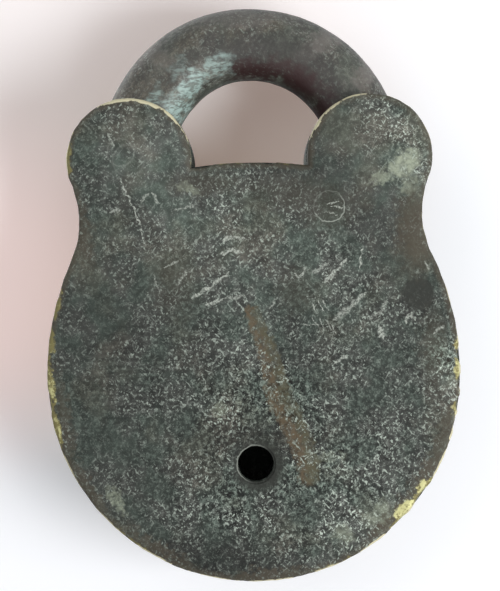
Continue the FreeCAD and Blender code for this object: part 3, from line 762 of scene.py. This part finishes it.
def build_stroke(name):
    """A scratch between two points of the plate, ragged along its sides."""
    ends = [("Place", "vector"), ("From", "vector"), ("To", "vector")]
    shape = [("Width", "value", 0.001), ("End Share", "value", 0.2)]
    bench, given, out = new_group(name, ends + shape, [("Mask", "value")])
    run = bench.along("SUBTRACT", given["To"], given["From"])
    reach = bench.along("SUBTRACT", given["Place"], given["From"])
    share = bench.sum("DIVIDE", bench.along("DOT_PRODUCT", reach, run), bench.along("DOT_PRODUCT", run, run))
    share = bench.limit(share)
    off = bench.along("DISTANCE", reach, bench.scaled(run, share))
    taper = bench.step(bench.apart(share, 0.5), 0.3, 0.52, 0.5, given["End Share"])
    taper = bench.times(given["Width"], taper)
    bench.wire(out["Mask"], bench.step(bench.sum("DIVIDE", off, taper), 0.45, 1.25, 1.0, 0.0))
    return bench.tree


def build_rub(name):
    """A soft oval patch in the plane of the plate. Across and Up: its directions over its half sizes."""
    bench, given, out = new_group(
        name,
        [("Place", "vector"), ("Centre", "vector"), ("Across", "vector"), ("Up", "vector")],
        [("Mask", "value")],
    )
    away = bench.along("SUBTRACT", given["Place"], given["Centre"])
    across = bench.along("DOT_PRODUCT", away, given["Across"])
    up = bench.along("DOT_PRODUCT", away, given["Up"])
    off = bench.sum("MULTIPLY_ADD", up, up, bench.times(across, across))
    bench.wire(out["Mask"], bench.step(bench.sum("SQRT", off), 0.35, 1.3, 1.0, 0.0))
    return bench.tree


def rub_masks(bench, place, rows):
    """The patches of a table of ovals: x, z, half sizes in millimetres, turn in degrees, strength."""
    rub = group_named("Rubbed Oval", build_rub)
    for x, z, half_x, half_z, turn, strength in rows:
        c, s = math.cos(math.radians(turn)), math.sin(math.radians(turn))
        mask = bench.use(
            rub,
            Place=place,
            Centre=(x * MM, 0, z * MM),
            Across=(c / (half_x * MM), 0.0, s / (half_x * MM)),
            Up=(-s / (half_z * MM), 0.0, c / (half_z * MM)),
        )["Mask"]
        yield bench.times(mask, strength)


def build_grain(name):
    """Dark patina of two close tones with pale flecks partly painted as glints, short curled marks and clouds
    of brown.
    """
    bench, given, out = new_group(
        name,
        [
            ("Place", "vector"),
            ("Ground", "colour", (0.07, 0.08, 0.07)),
            ("Cool", "colour", (0.08, 0.1, 0.09)),
            ("Fleck", "colour", (0.3, 0.35, 0.3)),
            ("Stain", "colour", (0.08, 0.06, 0.05)),
            ("Flecks", "value", 1.0),
            ("Stains", "value", 0.5),
        ],
        [("Colour", "colour"), ("Flecks", "value"), ("Roughness", "value"), ("Height", "value")],
    )
    place = given["Place"]
    fine = bench.noise(place, 850.0, 3.0, 0.9)
    cloud = bench.noise(bench.moved(place, (0.31, 0.17, 0.23)), 130.0, 3.0, 0.6)
    wide = bench.noise(bench.moved(place, (0.9, 0.4, 0.2)), 60.0, 3.0, 0.6)
    line = bench.apart(bench.noise(bench.moved(place, (0.5, 0.7, 0.1)), 1000.0, 1.0), 0.5)
    curls = bench.times(bench.step(line, 0.0, 0.045, 0.55, 0.0), bench.step(fine, 0.46, 0.58))
    sparks = []
    # Sparks: short bright marks, painted glints off the pitted surface.
    for turn in (0.75, -0.6):
        leaning = bench.moved(bench.moved(place, (0.2, 0.5, turn), (0.0, turn, 0.0)), scale=(1.0, 1.0, 0.55))
        sparks.append(bench.step(bench.noise(leaning, 1900.0, 1.0, 0.6), 0.6, 0.7, 0.0, 0.85))
    sparks = bench.sum("MAXIMUM", *sparks)
    mottle = bench.noise(bench.moved(place, (0.1, 0.8, 0.4)), 300.0, 2.0)
    many = bench.step(cloud, 0.38, 0.6, 0.25, 1.0)
    marks = bench.times(bench.sum("MAXIMUM", curls, sparks), bench.times(many, given["Flecks"]))
    marks = bench.limit(marks)
    rise = bench.sum("POWER", bench.limit(bench.step(fine, 0.3, 0.7)), 2.4)
    swing = bench.times(bench.minus(bench.times(rise, 2.6), 0.45), given["Flecks"])
    stain = bench.limit(bench.times(bench.step(wide, 0.5, 0.62), given["Stains"]))
    ground = bench.mix(bench.step(cloud, 0.4, 0.6), given["Cool"], given["Ground"])
    ground = bench.mix(stain, ground, given["Stain"])
    shaded = bench.scaled(ground, bench.plus(bench.step(mottle, 0.25, 0.75, 0.7, 1.3), swing))
    height = bench.plus(bench.times(fine, 0.8), bench.times(cloud, 1.2))
    results = {
        "Colour": bench.mix(marks, shaded, given["Fleck"]),
        "Flecks": marks,
        "Roughness": bench.step(marks, 0.0, 1.0, 0.6, 0.42),
        "Height": bench.plus(height, bench.times(wide, 2.5)),
    }
    bench.fill(out, results)
    return bench.tree


def build_dish(name):
    """The plate is worn into a shallow dish round the key's hole."""
    bench, given, out = new_group(name, [("Place", "vector")], [("Depth", "value")])
    off = bench.along("LENGTH", bench.flat(given["Place"]))
    bench.wire(out["Depth"], bench.step(off, 3.2 * MM, 5.6 * MM, 3.0, 0.0))
    return bench.tree


def build_marks(name, tables):
    """Everything that years of use left at known places on one face of the case, with painted highlights
    along its edges and on the lit side of rings, and places whose colour is made lighter or darker.
    """
    bench, given, out = new_group(name, [("Place", "vector")], [(label, "value") for label in MARKS])
    stroke = group_named("Scratch Stroke", build_stroke)
    flat = bench.flat(given["Place"])
    shake = bench.shake(given["Place"], 900.0, 2.0)

    def shaken(amount):
        return bench.flat(bench.along("ADD", flat, bench.scaled(shake, amount)))

    thin, rough = shaken(0.7 * MM), shaken(5.0 * MM)

    def strokes(rows, place, end_share=0.2, widen=1.0):
        for x0, z0, x1, z1, width, strength in rows:
            mask = bench.use(
                stroke,
                Place=place,
                From=(x0 * MM, 0, z0 * MM),
                To=(x1 * MM, 0, z1 * MM),
                Width=widen * width * MM,
                End_Share=end_share,
            )["Mask"]
            yield bench.times(mask, strength)

    def path(rows):
        legs = [(x0, z0, x1, z1, w0 + w1, 1.0) for (x0, z0, w0), (x1, z1, w1) in zip(rows, rows[1:])]
        return bench.most(strokes(legs, shaken(2.4 * MM), 0.5))

    def rubs(kind):
        return rub_masks(bench, rough, tables[kind])

    def discs(rows):
        for x, z, radius, soft in rows:
            off = bench.along("DISTANCE", thin, (x * MM, 0, z * MM))
            yield bench.step(off, (radius - soft) * MM, (radius + soft) * MM, 1.0, 0.0)

    def rings(rows):
        for x, z, radius, width, lit_x, lit_z, least, most in rows:
            centre = (x * MM, 0, z * MM)
            off = bench.apart(bench.along("DISTANCE", thin, centre), radius * MM)
            ring = bench.step(off, 0.3 * width * MM, width * MM, 1.0, 0.0)
            # A painted highlight: each ring is brighter on the side it is lit from.
            side = bench.along("DOT_PRODUCT", bench.along("SUBTRACT", flat, centre), (lit_x, 0, lit_z))
            yield bench.times(ring, bench.step(side, -0.4 * radius * MM, 0.85 * radius * MM, least, most))

    hairs = bench.noise(given["Place"], 2300.0, 2.0, 0.8)
    breakup = bench.step(hairs, 0.41, 0.59, 0.16, 1.0)
    scratches = bench.most(strokes(tables["Scratches"], shaken(1.3 * MM), 0.2, 1.3))
    results = {"Scratches": bench.times(scratches, breakup)}
    for kind in ("Streak", "Olive"):
        results[kind] = path(tables[kind])
    for kind in ("Green", "Brown", "Brass", "Line"):
        results[kind] = bench.most(rubs(kind))
    results["Polish"] = bench.most(discs(tables["Polish"]))
    results["Rings"] = bench.most(rings(tables["Rings"]))
    results["Grain Share"] = bench.sum("MAXIMUM", bench.total(0.77, rubs("Grain Share")), 0.05)
    filed = bench.noise(bench.moved(given["Place"], scale=(0.12, 1.0, 1.0)), 1500.0, 1.0)
    filed = bench.times(bench.step(filed, 0.3, 0.7, -0.3, 0.3), bench.most(rubs("Filed")))
    results["Tone"] = bench.total(filed, rubs("Tone"), 1.0)
    bench.fill(out, results)
    return bench.tree


def build_case_rim(name):
    """How near the case's outline a place is, by its arcs: 1 on it, 0 from the rim's reach inwards."""
    sizes = bpy.context.scene.padlock_sizes
    body, shoulder, waist, ear, crown = case_arcs(sizes)
    bench, given, out = new_group(name, [("Place", "vector")], [("Share", "value")])
    z = bench.axis(given["Place"], "Z")
    half = bench.point(X=bench.sum("ABSOLUTE", bench.axis(given["Place"], "X")), Z=z)

    def inside(centre, radius):
        return bench.minus(radius, bench.along("DISTANCE", half, (centre[0], 0, centre[1])))

    high = bench.sum("GREATER_THAN", z, sizes.body_height)
    low_part = bench.plus(inside(body, sizes.body_radius), high)
    high_part = bench.plus(inside(shoulder, sizes.shoulder_radius), bench.minus(1.0, high))
    trunk = bench.sum("MINIMUM", low_part, high_part)
    trunk = bench.sum("MINIMUM", trunk, inside(crown, sizes.crown_radius))
    whole = bench.sum("MAXIMUM", trunk, inside(ear, sizes.ear_radius))
    hollow = bench.minus(0.0, inside(waist, sizes.waist_radius))
    near_waist = bench.sum("LESS_THAN", bench.apart(z, waist[1]), WAIST_REACH)
    hollow = bench.plus(hollow, bench.minus(1.0, near_waist))
    whole = bench.sum("MAXIMUM", whole, bench.times(near_waist, hollow))
    whole = bench.sum("MINIMUM", whole, hollow)
    bench.wire(out["Share"], bench.limit(bench.minus(1.0, bench.sum("DIVIDE", whole, RIM_REACH))))
    return bench.tree


def build_sweep(name):
    """What the keyhole cover leaves as it swings: a round field and fine arcs; and dirt with painted shade
    along its outline.
    """
    sizes = bpy.context.scene.padlock_sizes
    kinds = [("Field", "value"), ("Arcs", "value"), ("Dirt", "value")]
    bench, given, out = new_group(name, [("Place", "vector")], kinds)
    flat = bench.flat(given["Place"])
    off = bench.along("DISTANCE", flat, (0, 0, PIN_Z))
    drop = PIN_Z - sizes.cover_drop_height
    reach = drop + sizes.cover_drop_radius
    field = bench.step(off, reach - 1.5 * MM, reach + 0.5 * MM, 1.0, 0.0)
    along_arc = bench.along("ADD", bench.point(X=off), bench.along("MULTIPLY", flat, (0.05, 0, 0.05)))
    arcs = bench.step(bench.noise(along_arc, 2400.0, 1.0), 0.6, 0.72)
    patchy = bench.step(bench.noise(flat, 90.0, 2.0), 0.45, 0.62)
    share = bench.limit(bench.sum("DIVIDE", bench.minus(PIN_Z, bench.axis(flat, "Z")), drop))
    middle = bench.point(Z=bench.minus(PIN_Z, bench.times(share, drop)))
    widen = bench.times(share, sizes.cover_drop_radius - sizes.cover_top_radius)
    beside = bench.minus(bench.along("DISTANCE", flat, middle), widen)
    beside = bench.minus(beside, sizes.cover_top_radius)
    results = {
        "Field": field,
        "Arcs": bench.times(bench.times(arcs, patchy), field),
        "Dirt": bench.step(beside, -0.2 * MM, 1.8 * MM, 1.0, 0.0),
    }
    bench.fill(out, results)
    return bench.tree


def new_material(name):
    """A material with its shader, its output and a bench to lay nodes on."""
    material = bpy.data.materials.new(name)
    material.use_nodes = True
    material.node_tree.nodes.clear()
    bench = Bench(material.node_tree)
    shader = bench.node("ShaderNodeBsdfPrincipled")
    bench.wire(bench.node("ShaderNodeOutputMaterial").inputs["Surface"], shader.outputs[0])
    return material, bench, shader


def bump(bench, shader, height, distance):
    node = bench.node("ShaderNodeBump")
    bench.fill(node.inputs, {"Distance": distance, "Height": height})
    bench.wire(shader.inputs["Normal"], node.outputs[0])


def rim_edge(bench, place):
    """How near the piece's worn edge a place is, as written on its vertices."""
    return bench.node("ShaderNodeAttribute", attribute_name="rim").outputs["Fac"]


def front_edge(bench, place):
    """How near the front corner of the case a place is."""
    corner = bench.step(bench.axis(place, "Y"), CASE_HIGH.y - 1.6 * MM, CASE_HIGH.y - 0.5 * MM)
    rim = bench.use(group_named("Case Rim", build_case_rim), Place=place)["Share"]
    return bench.times(rim, bench.limit(corner))


def dome_edge(bench, place):
    """The pin's domed head is rubbed at its top."""
    return bench.limit(bench.step(bench.axis(place, "Y"), COVER_HIGH.y, PIN_HIGH.y - 0.3 * MM, 0.2, 1.0))


def patina_grain(bench, place, colours, flecks, stains):
    """The patina's grain in four colours: ground, cooler ground, fleck with painted glints, and stain."""
    ground, cool, fleck, stain = colours
    return bench.use(
        group_named("Patina Grain", build_grain),
        Place=place,
        Ground=ground,
        Cool=cool,
        Fleck=fleck,
        Stain=stain,
        Flecks=flecks,
        Stains=stains,
    )


def brass_finish(name, look, edge=None, side="", stains=0.4, flecks=0.6):
    """Patinated brass. Edge finds the worn edges; side says whose marks it carries, back or front."""
    material, bench, shader = new_material(name)
    place = bench.place()
    depth = bench.axis(place, "Y")
    marks = None
    if side == "back":
        marks = bench.use(group_named("Back Marks", build_marks, BACK_TABLES), Place=place)
        face = bench.step(depth, 0.6 * MM, 1.4 * MM, 1.0, 0.0)
    elif side == "front":
        marks = bench.use(group_named("Front Marks", build_marks, FRONT_TABLES), Place=place)
        sweep = bench.use(group_named("Cover Sweep", build_sweep), Place=place)
        face = bench.step(depth, CASE_HIGH.y - 1.4 * MM, CASE_HIGH.y - 0.6 * MM)
    if marks:
        flecks = marks["Grain Share"]
    colours = (look.patina, look.patina_cool, look.fleck, look.brown)
    grain = patina_grain(bench, place, colours, flecks, stains)
    colour, height = grain["Colour"], grain["Height"]
    uneven = bench.noise(place, 520.0, 3.0, 0.7)
    from_even = bench.minus(uneven, 0.5)

    # Brown tarnish, and the skin that was rubbed smooth.
    near = edge(bench, place) if edge else 0.0
    tarnish = bench.step(bench.plus(near, bench.times(uneven, 0.5)), 0.7, 1.1, 0.0, 0.85)
    tarnish = bench.limit(tarnish)
    if marks:
        colour = bench.scaled(colour, marks["Tone"])
        tarnish = bench.sum("MAXIMUM", tarnish, marks["Brown"])
        polish = bench.times(marks["Polish"], face)
        colour = bench.mix(bench.times(polish, 0.9), colour, look.polish)
    fleck_left = bench.minus(1.0, bench.times(grain["Flecks"], 0.7))
    colour = bench.mix(bench.times(bench.times(tarnish, 0.7), fleck_left), colour, look.brown)

    # What the keyhole cover leaves as it swings, and dirt with painted shade along its outline.
    if side == "front":
        traces = (("Field", 0.45, look.brown), ("Arcs", 0.55, look.fleck), ("Dirt", 0.8, look.grime_and_shade))
        for trace, share, tint in traces:
            colour = bench.mix(bench.times(bench.times(sweep[trace], face), share), colour, tint)

    # Green bloom, the streak, the olive band, the strokes, and the rings with a painted highlight on their
    # lit side.
    reach = 0.3
    if marks:
        speckled = bench.step(uneven, 0.36, 0.62, 0.35, 1.0)
        colour = bench.mix(bench.times(marks["Green"], speckled), colour, look.verdigris)
        patchy = bench.times(fleck_left, bench.step(uneven, 0.36, 0.62, 0.25, 0.95))
        colour = bench.mix(bench.times(marks["Streak"], patchy), colour, look.copper)
        colour = bench.mix(bench.times(marks["Olive"], patchy), colour, look.olive)
        bright = bench.times(bench.sum("MAXIMUM", marks["Scratches"], marks["Rings"]), face)
        colour = bench.mix(bench.times(bright, 0.9), colour, look.scratch)
        reach = marks["Brass"]

    # Bare brass on the worn edges, with painted glints, and a painted highlight along their outermost corner.
    worn = bench.plus(near, bench.times(reach, 0.8))
    worn = bench.plus(worn, bench.times(from_even, 0.9))
    worn = bench.limit(bench.step(worn, 0.94, 1.14))
    # Painted glints: bright brass spots among darker brass, more of them where the brass reaches further in.
    glints = bench.plus(bench.noise(place, 1300.0, 2.0, 0.7), bench.times(reach, 0.6))
    glints = bench.limit(bench.step(glints, 0.81, 1.01))
    colour = bench.mix(worn, colour, bench.mix(glints, look.brass_shade, look.brass))
    if marks:
        # The outermost corner of the edge gets a thin painted highlight.
        line = bench.plus(near, bench.times(marks["Line"], 0.3))
        line = bench.plus(line, bench.times(from_even, 0.16))
        line = bench.limit(bench.step(line, 0.99, 1.05))
        line = bench.times(line, bench.limit(bench.step(marks["Line"], 0.02, 0.3)))
        colour = bench.mix(line, colour, look.edge_highlight)
    if side == "back":
        dish = bench.use(group_named("Dished Hole", build_dish), Place=place)["Depth"]
        height = bench.minus(height, dish)
    skin = {
        "Base Color": colour,
        "Metallic": bench.times(worn, 0.35),
        "Roughness": bench.minus(grain["Roughness"], bench.times(worn, 0.1)),
        "Specular IOR Level": 0.2,
    }
    bench.fill(shader.inputs, skin)
    bump(bench, shader, height, 0.09 * MM)
    return material


def shackle_finish(look):
    """Forged bow: dark scale and painted shade, blue green bloom with a painted highlight inside its left
    side, red brown rust and painted shade inside its right, a painted highlight on its outer side.
    """
    material, bench, shader = new_material("forged_shackle_iron")
    place = bench.place()
    grain = patina_grain(bench, place, (look.iron, look.iron_green, look.fleck, look.brown), 0.5, 0.6)
    push = bench.along("MULTIPLY", bench.shake(place, 600.0, 3.0), (6.0 * MM, 0, 6.0 * MM))
    shaken = bench.along("ADD", bench.flat(place), push)

    def patches(rows):
        return bench.most(rub_masks(bench, shaken, rows))

    # Painted highlight on the outer side, painted shade with the dark scale and with the red brown rust.
    colour = bench.mix(patches(BOW_HIGHLIGHT_RUBS), grain["Colour"], look.iron_highlight)
    colour = bench.mix(patches(DARK_SCALE_AND_SHADE_RUBS), colour, look.iron_dark_and_shade)
    shade = bench.times(patches(RUST_AND_SHADE_RUBS), bench.step(grain["Flecks"], 0.0, 0.8, 1.0, 0.4))
    colour = bench.mix(shade, colour, look.iron_rust_and_shade)
    # Blue green bloom with a painted highlight.
    leaning = bench.moved(place, (0.1, 0.0, 0.2), (0.0, -0.9, 0.0), (0.4, 1.0, 1.4))
    streaks = bench.noise(leaning, 900.0, 2.0, 0.8)
    bloom_and_highlight = bench.times(patches(BLOOM_AND_HIGHLIGHT_RUBS), bench.limit(bench.step(streaks, 0.4, 0.6, 0.25, 1.0)))
    skin = {
        "Base Color": bench.mix(bloom_and_highlight, colour, look.iron_bloom_and_highlight),
        "Roughness": bench.minus(grain["Roughness"], 0.1),
        "Specular IOR Level": 0.5,
    }
    bench.fill(shader.inputs, skin)
    bump(bench, shader, grain["Height"], 0.12 * MM)
    return material


def works_finish(name, colour, metallic, roughness, look):
    """Brass or steel kept from weather inside the case, a little dulled."""
    material, bench, shader = new_material(name)
    place = bench.place()
    dull = bench.noise(place, 300.0, 3.0, 0.6)
    drawn = bench.noise(bench.moved(place, scale=(1.0, 1.0, 12.0)), 400.0, 2.0, 0.5)
    skin = {
        "Base Color": bench.mix(bench.step(dull, 0.35, 0.7, 0.15, 0.6), colour, look.brown),
        "Roughness": bench.step(drawn, 0.3, 0.7, roughness, roughness + 0.15),
        "Metallic": metallic,
    }
    bench.fill(shader.inputs, skin)
    bump(bench, shader, drawn, 0.02 * MM)
    return material


# ---- operators
class PADLOCK_OT_back_plate(bpy.types.Operator):
    """Draw the back plate by its arcs, round and wear its edge, drill it and give it its marks"""

    bl_idname = "padlock.back_plate"
    bl_label = "Back Plate"

    def execute(self, context):
        sizes, look = context.scene.padlock_sizes, context.scene.padlock_finish
        thick, hole, lip = sizes.plate_thickness, sizes.nose_hole_radius, sizes.nose_hole_lip
        plate = new_piece("worn_back_plate", (0, 0, sizes.body_height - sizes.body_radius))
        draw_case_outline(sizes)
        outline = make_solid(plate, thick)
        round_face(plate, 0.0, -1, sizes.edge_round, ROUND_STEPS, FACE_RINGS)
        write_group(plate, "edge", rim_shares(plate, outline, WORN_REACH))
        wear_down(plate, "edge_wear", 2.6 * MM, sizes.edge_wear, "edge")
        edit(plate)
        for x, z, reach, depth in EDGE_DENTS:
            self.dent(plate, Vector((x * MM, 0, z * MM)), reach * MM, depth * MM, sizes)
        rest_hands()
        for place in rivet_places():
            drill(plate, place, sizes.rivet_hole_radius, -thick, 2 * thick)
        drill(plate, (0, 0), hole, -thick, 2 * thick)
        drill(plate, (0, 0), hole, -lip, lip, hole + 2 * lip)
        write_attribute(plate, "rim", rim_shares(plate, outline, RIM_REACH, thick))
        brass = brass_finish("aged_plate_brass", look, rim_edge, "back", 0.22)
        complete(plate, "case", ["back_plate"], brass)
        return {"FINISHED"}

    def dent(self, plate, place, reach, depth, sizes):
        """Pushes the edge in towards the body's middle, most at one point and less around it."""
        inwards = (Vector((0, 0, sizes.body_height)) - place).normalized() * depth
        pick(plate, "verts", lambda v: math.hypot(v.co.x - place.x, v.co.z - place.z) < 0.45 * reach)
        if any(v.select for v in bmesh.from_edit_mesh(plate.data).verts):
            pull(inwards, reach)


def rivet_places():
    """Where the flush rivets stand, one for each separate solid in their nodes."""
    places = []
    for name in FLUSH_RIVETS:
        heads = [v.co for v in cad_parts[name].data.vertices if v.co.y < TOUCH]
        while heads:
            seed = heads[0]
            near = [c for c in heads if math.hypot(c.x - seed.x, c.z - seed.z) < RIVET_REACH]
            heads = [c for c in heads if c not in near]
            xs, zs = [c.x for c in near], [c.z for c in near]
            places.append(((min(xs) + max(xs)) / 2, (min(zs) + max(zs)) / 2))
    return places


class PADLOCK_OT_shackle(bpy.types.Operator):
    """Make the forged shackle, uneven from the hammer"""

    bl_idname = "padlock.shackle"
    bl_label = "Shackle"

    def execute(self, context):
        sizes, look = context.scene.padlock_sizes, context.scene.padlock_finish
        bow = copy_of("shackle", "forged_shackle")
        take(bow)
        bow.data.remesh_voxel_size = BOW_GRAIN
        bpy.ops.object.voxel_remesh()
        modify(bow, "SMOOTH", factor=0.5, iterations=2)
        edit(bow)
        x, z = BOW_PLACE
        pick(bow, "verts", lambda v: math.hypot(v.co.x - x, v.co.z - z) < 2.0 * MM)
        pull((sizes.bow_lean, 0, -0.3 * sizes.bow_lean), BOW_REACH)
        wear_down(bow, "hammer_marks", 9.0 * MM, sizes.forge_dip)
        wear_down(bow, "scale_pits", 1.8 * MM, 0.4 * sizes.forge_dip)
        complete(bow, "shackle", ["shackle"], shackle_finish(look), 60.0)
        return {"FINISHED"}


class PADLOCK_OT_keyhole_cover(bpy.types.Operator):
    """Draw the drop-shaped keyhole cover by its arcs, round its edge and drill it for its pin"""

    bl_idname = "padlock.keyhole_cover"
    bl_label = "Keyhole Cover"

    def execute(self, context):
        sizes, look = context.scene.padlock_sizes, context.scene.padlock_finish
        pin, drop = (0.0, PIN_Z), (0.0, sizes.cover_drop_height)
        thick = COVER_HIGH.y - COVER_LOW.y
        narrowing = sizes.cover_drop_radius - sizes.cover_top_radius
        lean = math.asin(narrowing / (PIN_Z - drop[1]))
        run = (-narrowing * math.cos(lean), 0, PIN_Z - drop[1] - narrowing * math.sin(lean))
        cover = new_piece("drop_cover", (0, COVER_LOW.y, drop[1] - sizes.cover_drop_radius))
        spin_on(drop, 90.0 + math.degrees(lean))
        bpy.ops.mesh.extrude_region_move(TRANSFORM_OT_translate={"value": run})
        spin_on(pin, 90.0 - math.degrees(lean))
        outline = make_solid(cover, thick)
        round_face(cover, COVER_HIGH.y, 1, COVER_ROUND, COVER_ROUND_STEPS, FACE_RINGS[:3])
        drill(cover, pin, PIN_HOLE, COVER_LOW.y - thick, COVER_HIGH.y + thick)
        write_attribute(cover, "rim", rim_shares(cover, outline, COVER_RIM_REACH, COVER_LOW.y))
        brass = brass_finish("aged_cover_brass", look, rim_edge, "", 0.9, 0.4)
        complete(cover, "cover", ["keyhole_cover"], brass)
        return {"FINISHED"}


class PADLOCK_OT_case_front(bpy.types.Operator):
    """Give the case, its flush rivets and the cover's pin their aged brass"""

    bl_idname = "padlock.case_front"
    bl_label = "Case Front"

    def execute(self, context):
        look = context.scene.padlock_finish
        coat(("case_front",), brass_finish("aged_case_brass", look, front_edge, "front"))
        coat(("cover_pin",), brass_finish("aged_pin_brass", look, dome_edge, "", 0.9, 0.3))
        coat(FLUSH_RIVETS, brass_finish("aged_rivet_brass", look, None, "back", 0.22))
        return {"FINISHED"}


class PADLOCK_OT_works(bpy.types.Operator):
    """Give the bolt, levers, springs and posts their brass and steel"""

    bl_idname = "padlock.works"
    bl_label = "Works"

    def execute(self, context):
        look = context.scene.padlock_finish
        coat(BRASS_WORKS, works_finish("lever_sheet_brass", look.brass, 0.9, 0.38, look))
        coat(("bolt",), works_finish("bolt_cast_brass", look.brass, 0.9, 0.45, look))
        coat(STEEL_WORKS + SPRINGS, works_finish("works_steel", look.steel, 1.0, 0.4, look))
        return {"FINISHED"}


class PADLOCK_OT_stage(bpy.types.Operator):
    """Lay the pale table, hang the lamps and set the camera"""

    bl_idname = "padlock.stage"
    bl_label = "Stage"

    def execute(self, context):
        self.table(context.scene.padlock_finish)
        self.room()
        for lamp in LAMPS:
            self.lamp(*lamp)
        self.camera(context.scene)
        return {"FINISHED"}

    def table(self, look):
        """A sheet that glows a little where the camera sees it, with a painted warm glow near the bow and a
        painted pink glow beside the lock that tint the lock's shadow, and isn't seen from behind.
        """
        rest_hands()
        place = (0, CAD_BOX[1].y + TABLE_GAP, TABLE_HEIGHT)
        bpy.ops.mesh.primitive_plane_add(size=TABLE_SIZE, location=place, rotation=(math.pi / 2, 0, 0))
        table = bpy.context.object
        table.name = "pale_table"
        material, bench, shader = new_material("pale_table")
        place = bench.place()
        paper = bench.step(bench.noise(place, 3.0, 2.0), 0.3, 0.7, 0.0, 0.25)
        flat = bench.along("MULTIPLY", place, (1, 1, 0))
        cool = bench.step(bench.along("DISTANCE", flat, WARM_PLACE), 38.0 * MM, 80.0 * MM)
        glow = bench.mix(bench.limit(cool), look.stage_warm, look.stage_cool)
        # A painted pink glow where the lock's shadow falls beside it.
        pink_glow = bench.step(bench.along("DISTANCE", flat, PINK_GLOW_PLACE), 8.0 * MM, 44.0 * MM, 1.0, 0.0)
        sheet = {
            "Base Color": bench.mix(paper, look.stage, look.stage_shade),
            "Roughness": 0.9,
            "Specular IOR Level": 0.0,
            "Emission Color": bench.mix(bench.limit(pink_glow), glow, look.stage_pink_glow),
            "Emission Strength": bench.node("ShaderNodeLightPath").outputs["Is Camera Ray"],
        }
        bench.fill(shader.inputs, sheet)
        sides = bench.node("ShaderNodeMixShader")
        behind = bench.node("ShaderNodeNewGeometry").outputs["Backfacing"]
        clear = bench.node("ShaderNodeBsdfTransparent").outputs[0]
        bench.fill(sides.inputs, {0: behind, 1: shader.outputs[0], 2: clear})
        output = next(n for n in bench.tree.nodes if n.type == "OUTPUT_MATERIAL")
        bench.wire(output.inputs["Surface"], sides.outputs[0])
        table.data.materials.append(material)
        table.visible_shadow = False
        table.visible_diffuse = False

    def room(self):
        """White where it is seen and in mirrors and glass, and dimmer as light."""
        world = bpy.data.worlds.new("studio")
        bpy.context.scene.world = world
        world.use_nodes = True
        world.node_tree.nodes.clear()
        bench = Bench(world.node_tree)
        rays = bench.node("ShaderNodeLightPath").outputs
        seen = bench.most([rays["Is Camera Ray"], rays["Is Glossy Ray"], rays["Is Transmission Ray"]])
        light = bench.node("ShaderNodeBackground")
        brightness = bench.step(seen, 0.0, 1.0, 0.4, 1.0)
        bench.fill(light.inputs, {"Color": (1.0, 1.0, 1.0), "Strength": brightness})
        bench.wire(bench.node("ShaderNodeOutputWorld").inputs["Surface"], light.outputs[0])

    def lamp(self, name, place, size, watts):
        rest_hands()
        bpy.ops.object.light_add(type="AREA", location=place)
        lamp = bpy.context.object
        lamp.name = name
        lamp.data.size = size
        lamp.data.energy = watts
        lamp.rotation_mode = "QUATERNION"
        lamp.rotation_quaternion = (LAMP_AIM - Vector(place)).to_track_quat("-Z", "Y")

    def camera(self, scene):
        rest_hands()
        bpy.ops.object.camera_add(location=CAMERA_PLACE, rotation=(math.pi / 2, CAMERA_ROLL, 0))
        camera = bpy.context.object
        camera.name = "view_of_back"
        camera.data.lens = CAMERA_LENS
        camera.data.sensor_width = 36.0
        camera.data.dof.use_dof = False
        scene.camera = camera
        scene.view_settings.view_transform = "Standard"


class PADLOCK_PT_panel(bpy.types.Panel):
    """Sizes, colours and the steps that dress the padlock"""

    bl_idname = "PADLOCK_PT_panel"
    bl_label = "Padlock"
    bl_space_type = "VIEW_3D"
    bl_region_type = "UI"
    bl_category = "Padlock"

    def draw(self, context):
        column = self.layout.column(align=True)
        for group in (context.scene.padlock_sizes, context.scene.padlock_finish):
            for name in group.__annotations__:
                column.prop(group, name)
        for step in STEPS:
            column.operator(step.bl_idname)


STEPS = (
    PADLOCK_OT_back_plate,
    PADLOCK_OT_shackle,
    PADLOCK_OT_keyhole_cover,
    PADLOCK_OT_case_front,
    PADLOCK_OT_works,
    PADLOCK_OT_stage,
)
CLASSES = (PadlockSizes, PadlockFinish, PADLOCK_PT_panel) + STEPS


def register():
    for cls in CLASSES:
        bpy.utils.register_class(cls)
    bpy.types.Scene.padlock_sizes = PointerProperty(type=PadlockSizes)
    bpy.types.Scene.padlock_finish = PointerProperty(type=PadlockFinish)


def unregister():
    del bpy.types.Scene.padlock_finish
    del bpy.types.Scene.padlock_sizes
    for cls in reversed(CLASSES):
        bpy.utils.unregister_class(cls)


def main():
    register()
    bpy.ops.padlock.back_plate()
    bpy.ops.padlock.shackle()
    bpy.ops.padlock.keyhole_cover()
    bpy.ops.padlock.case_front()
    bpy.ops.padlock.works()
    bpy.ops.padlock.stage()


if __name__ == "__main__":
    main()
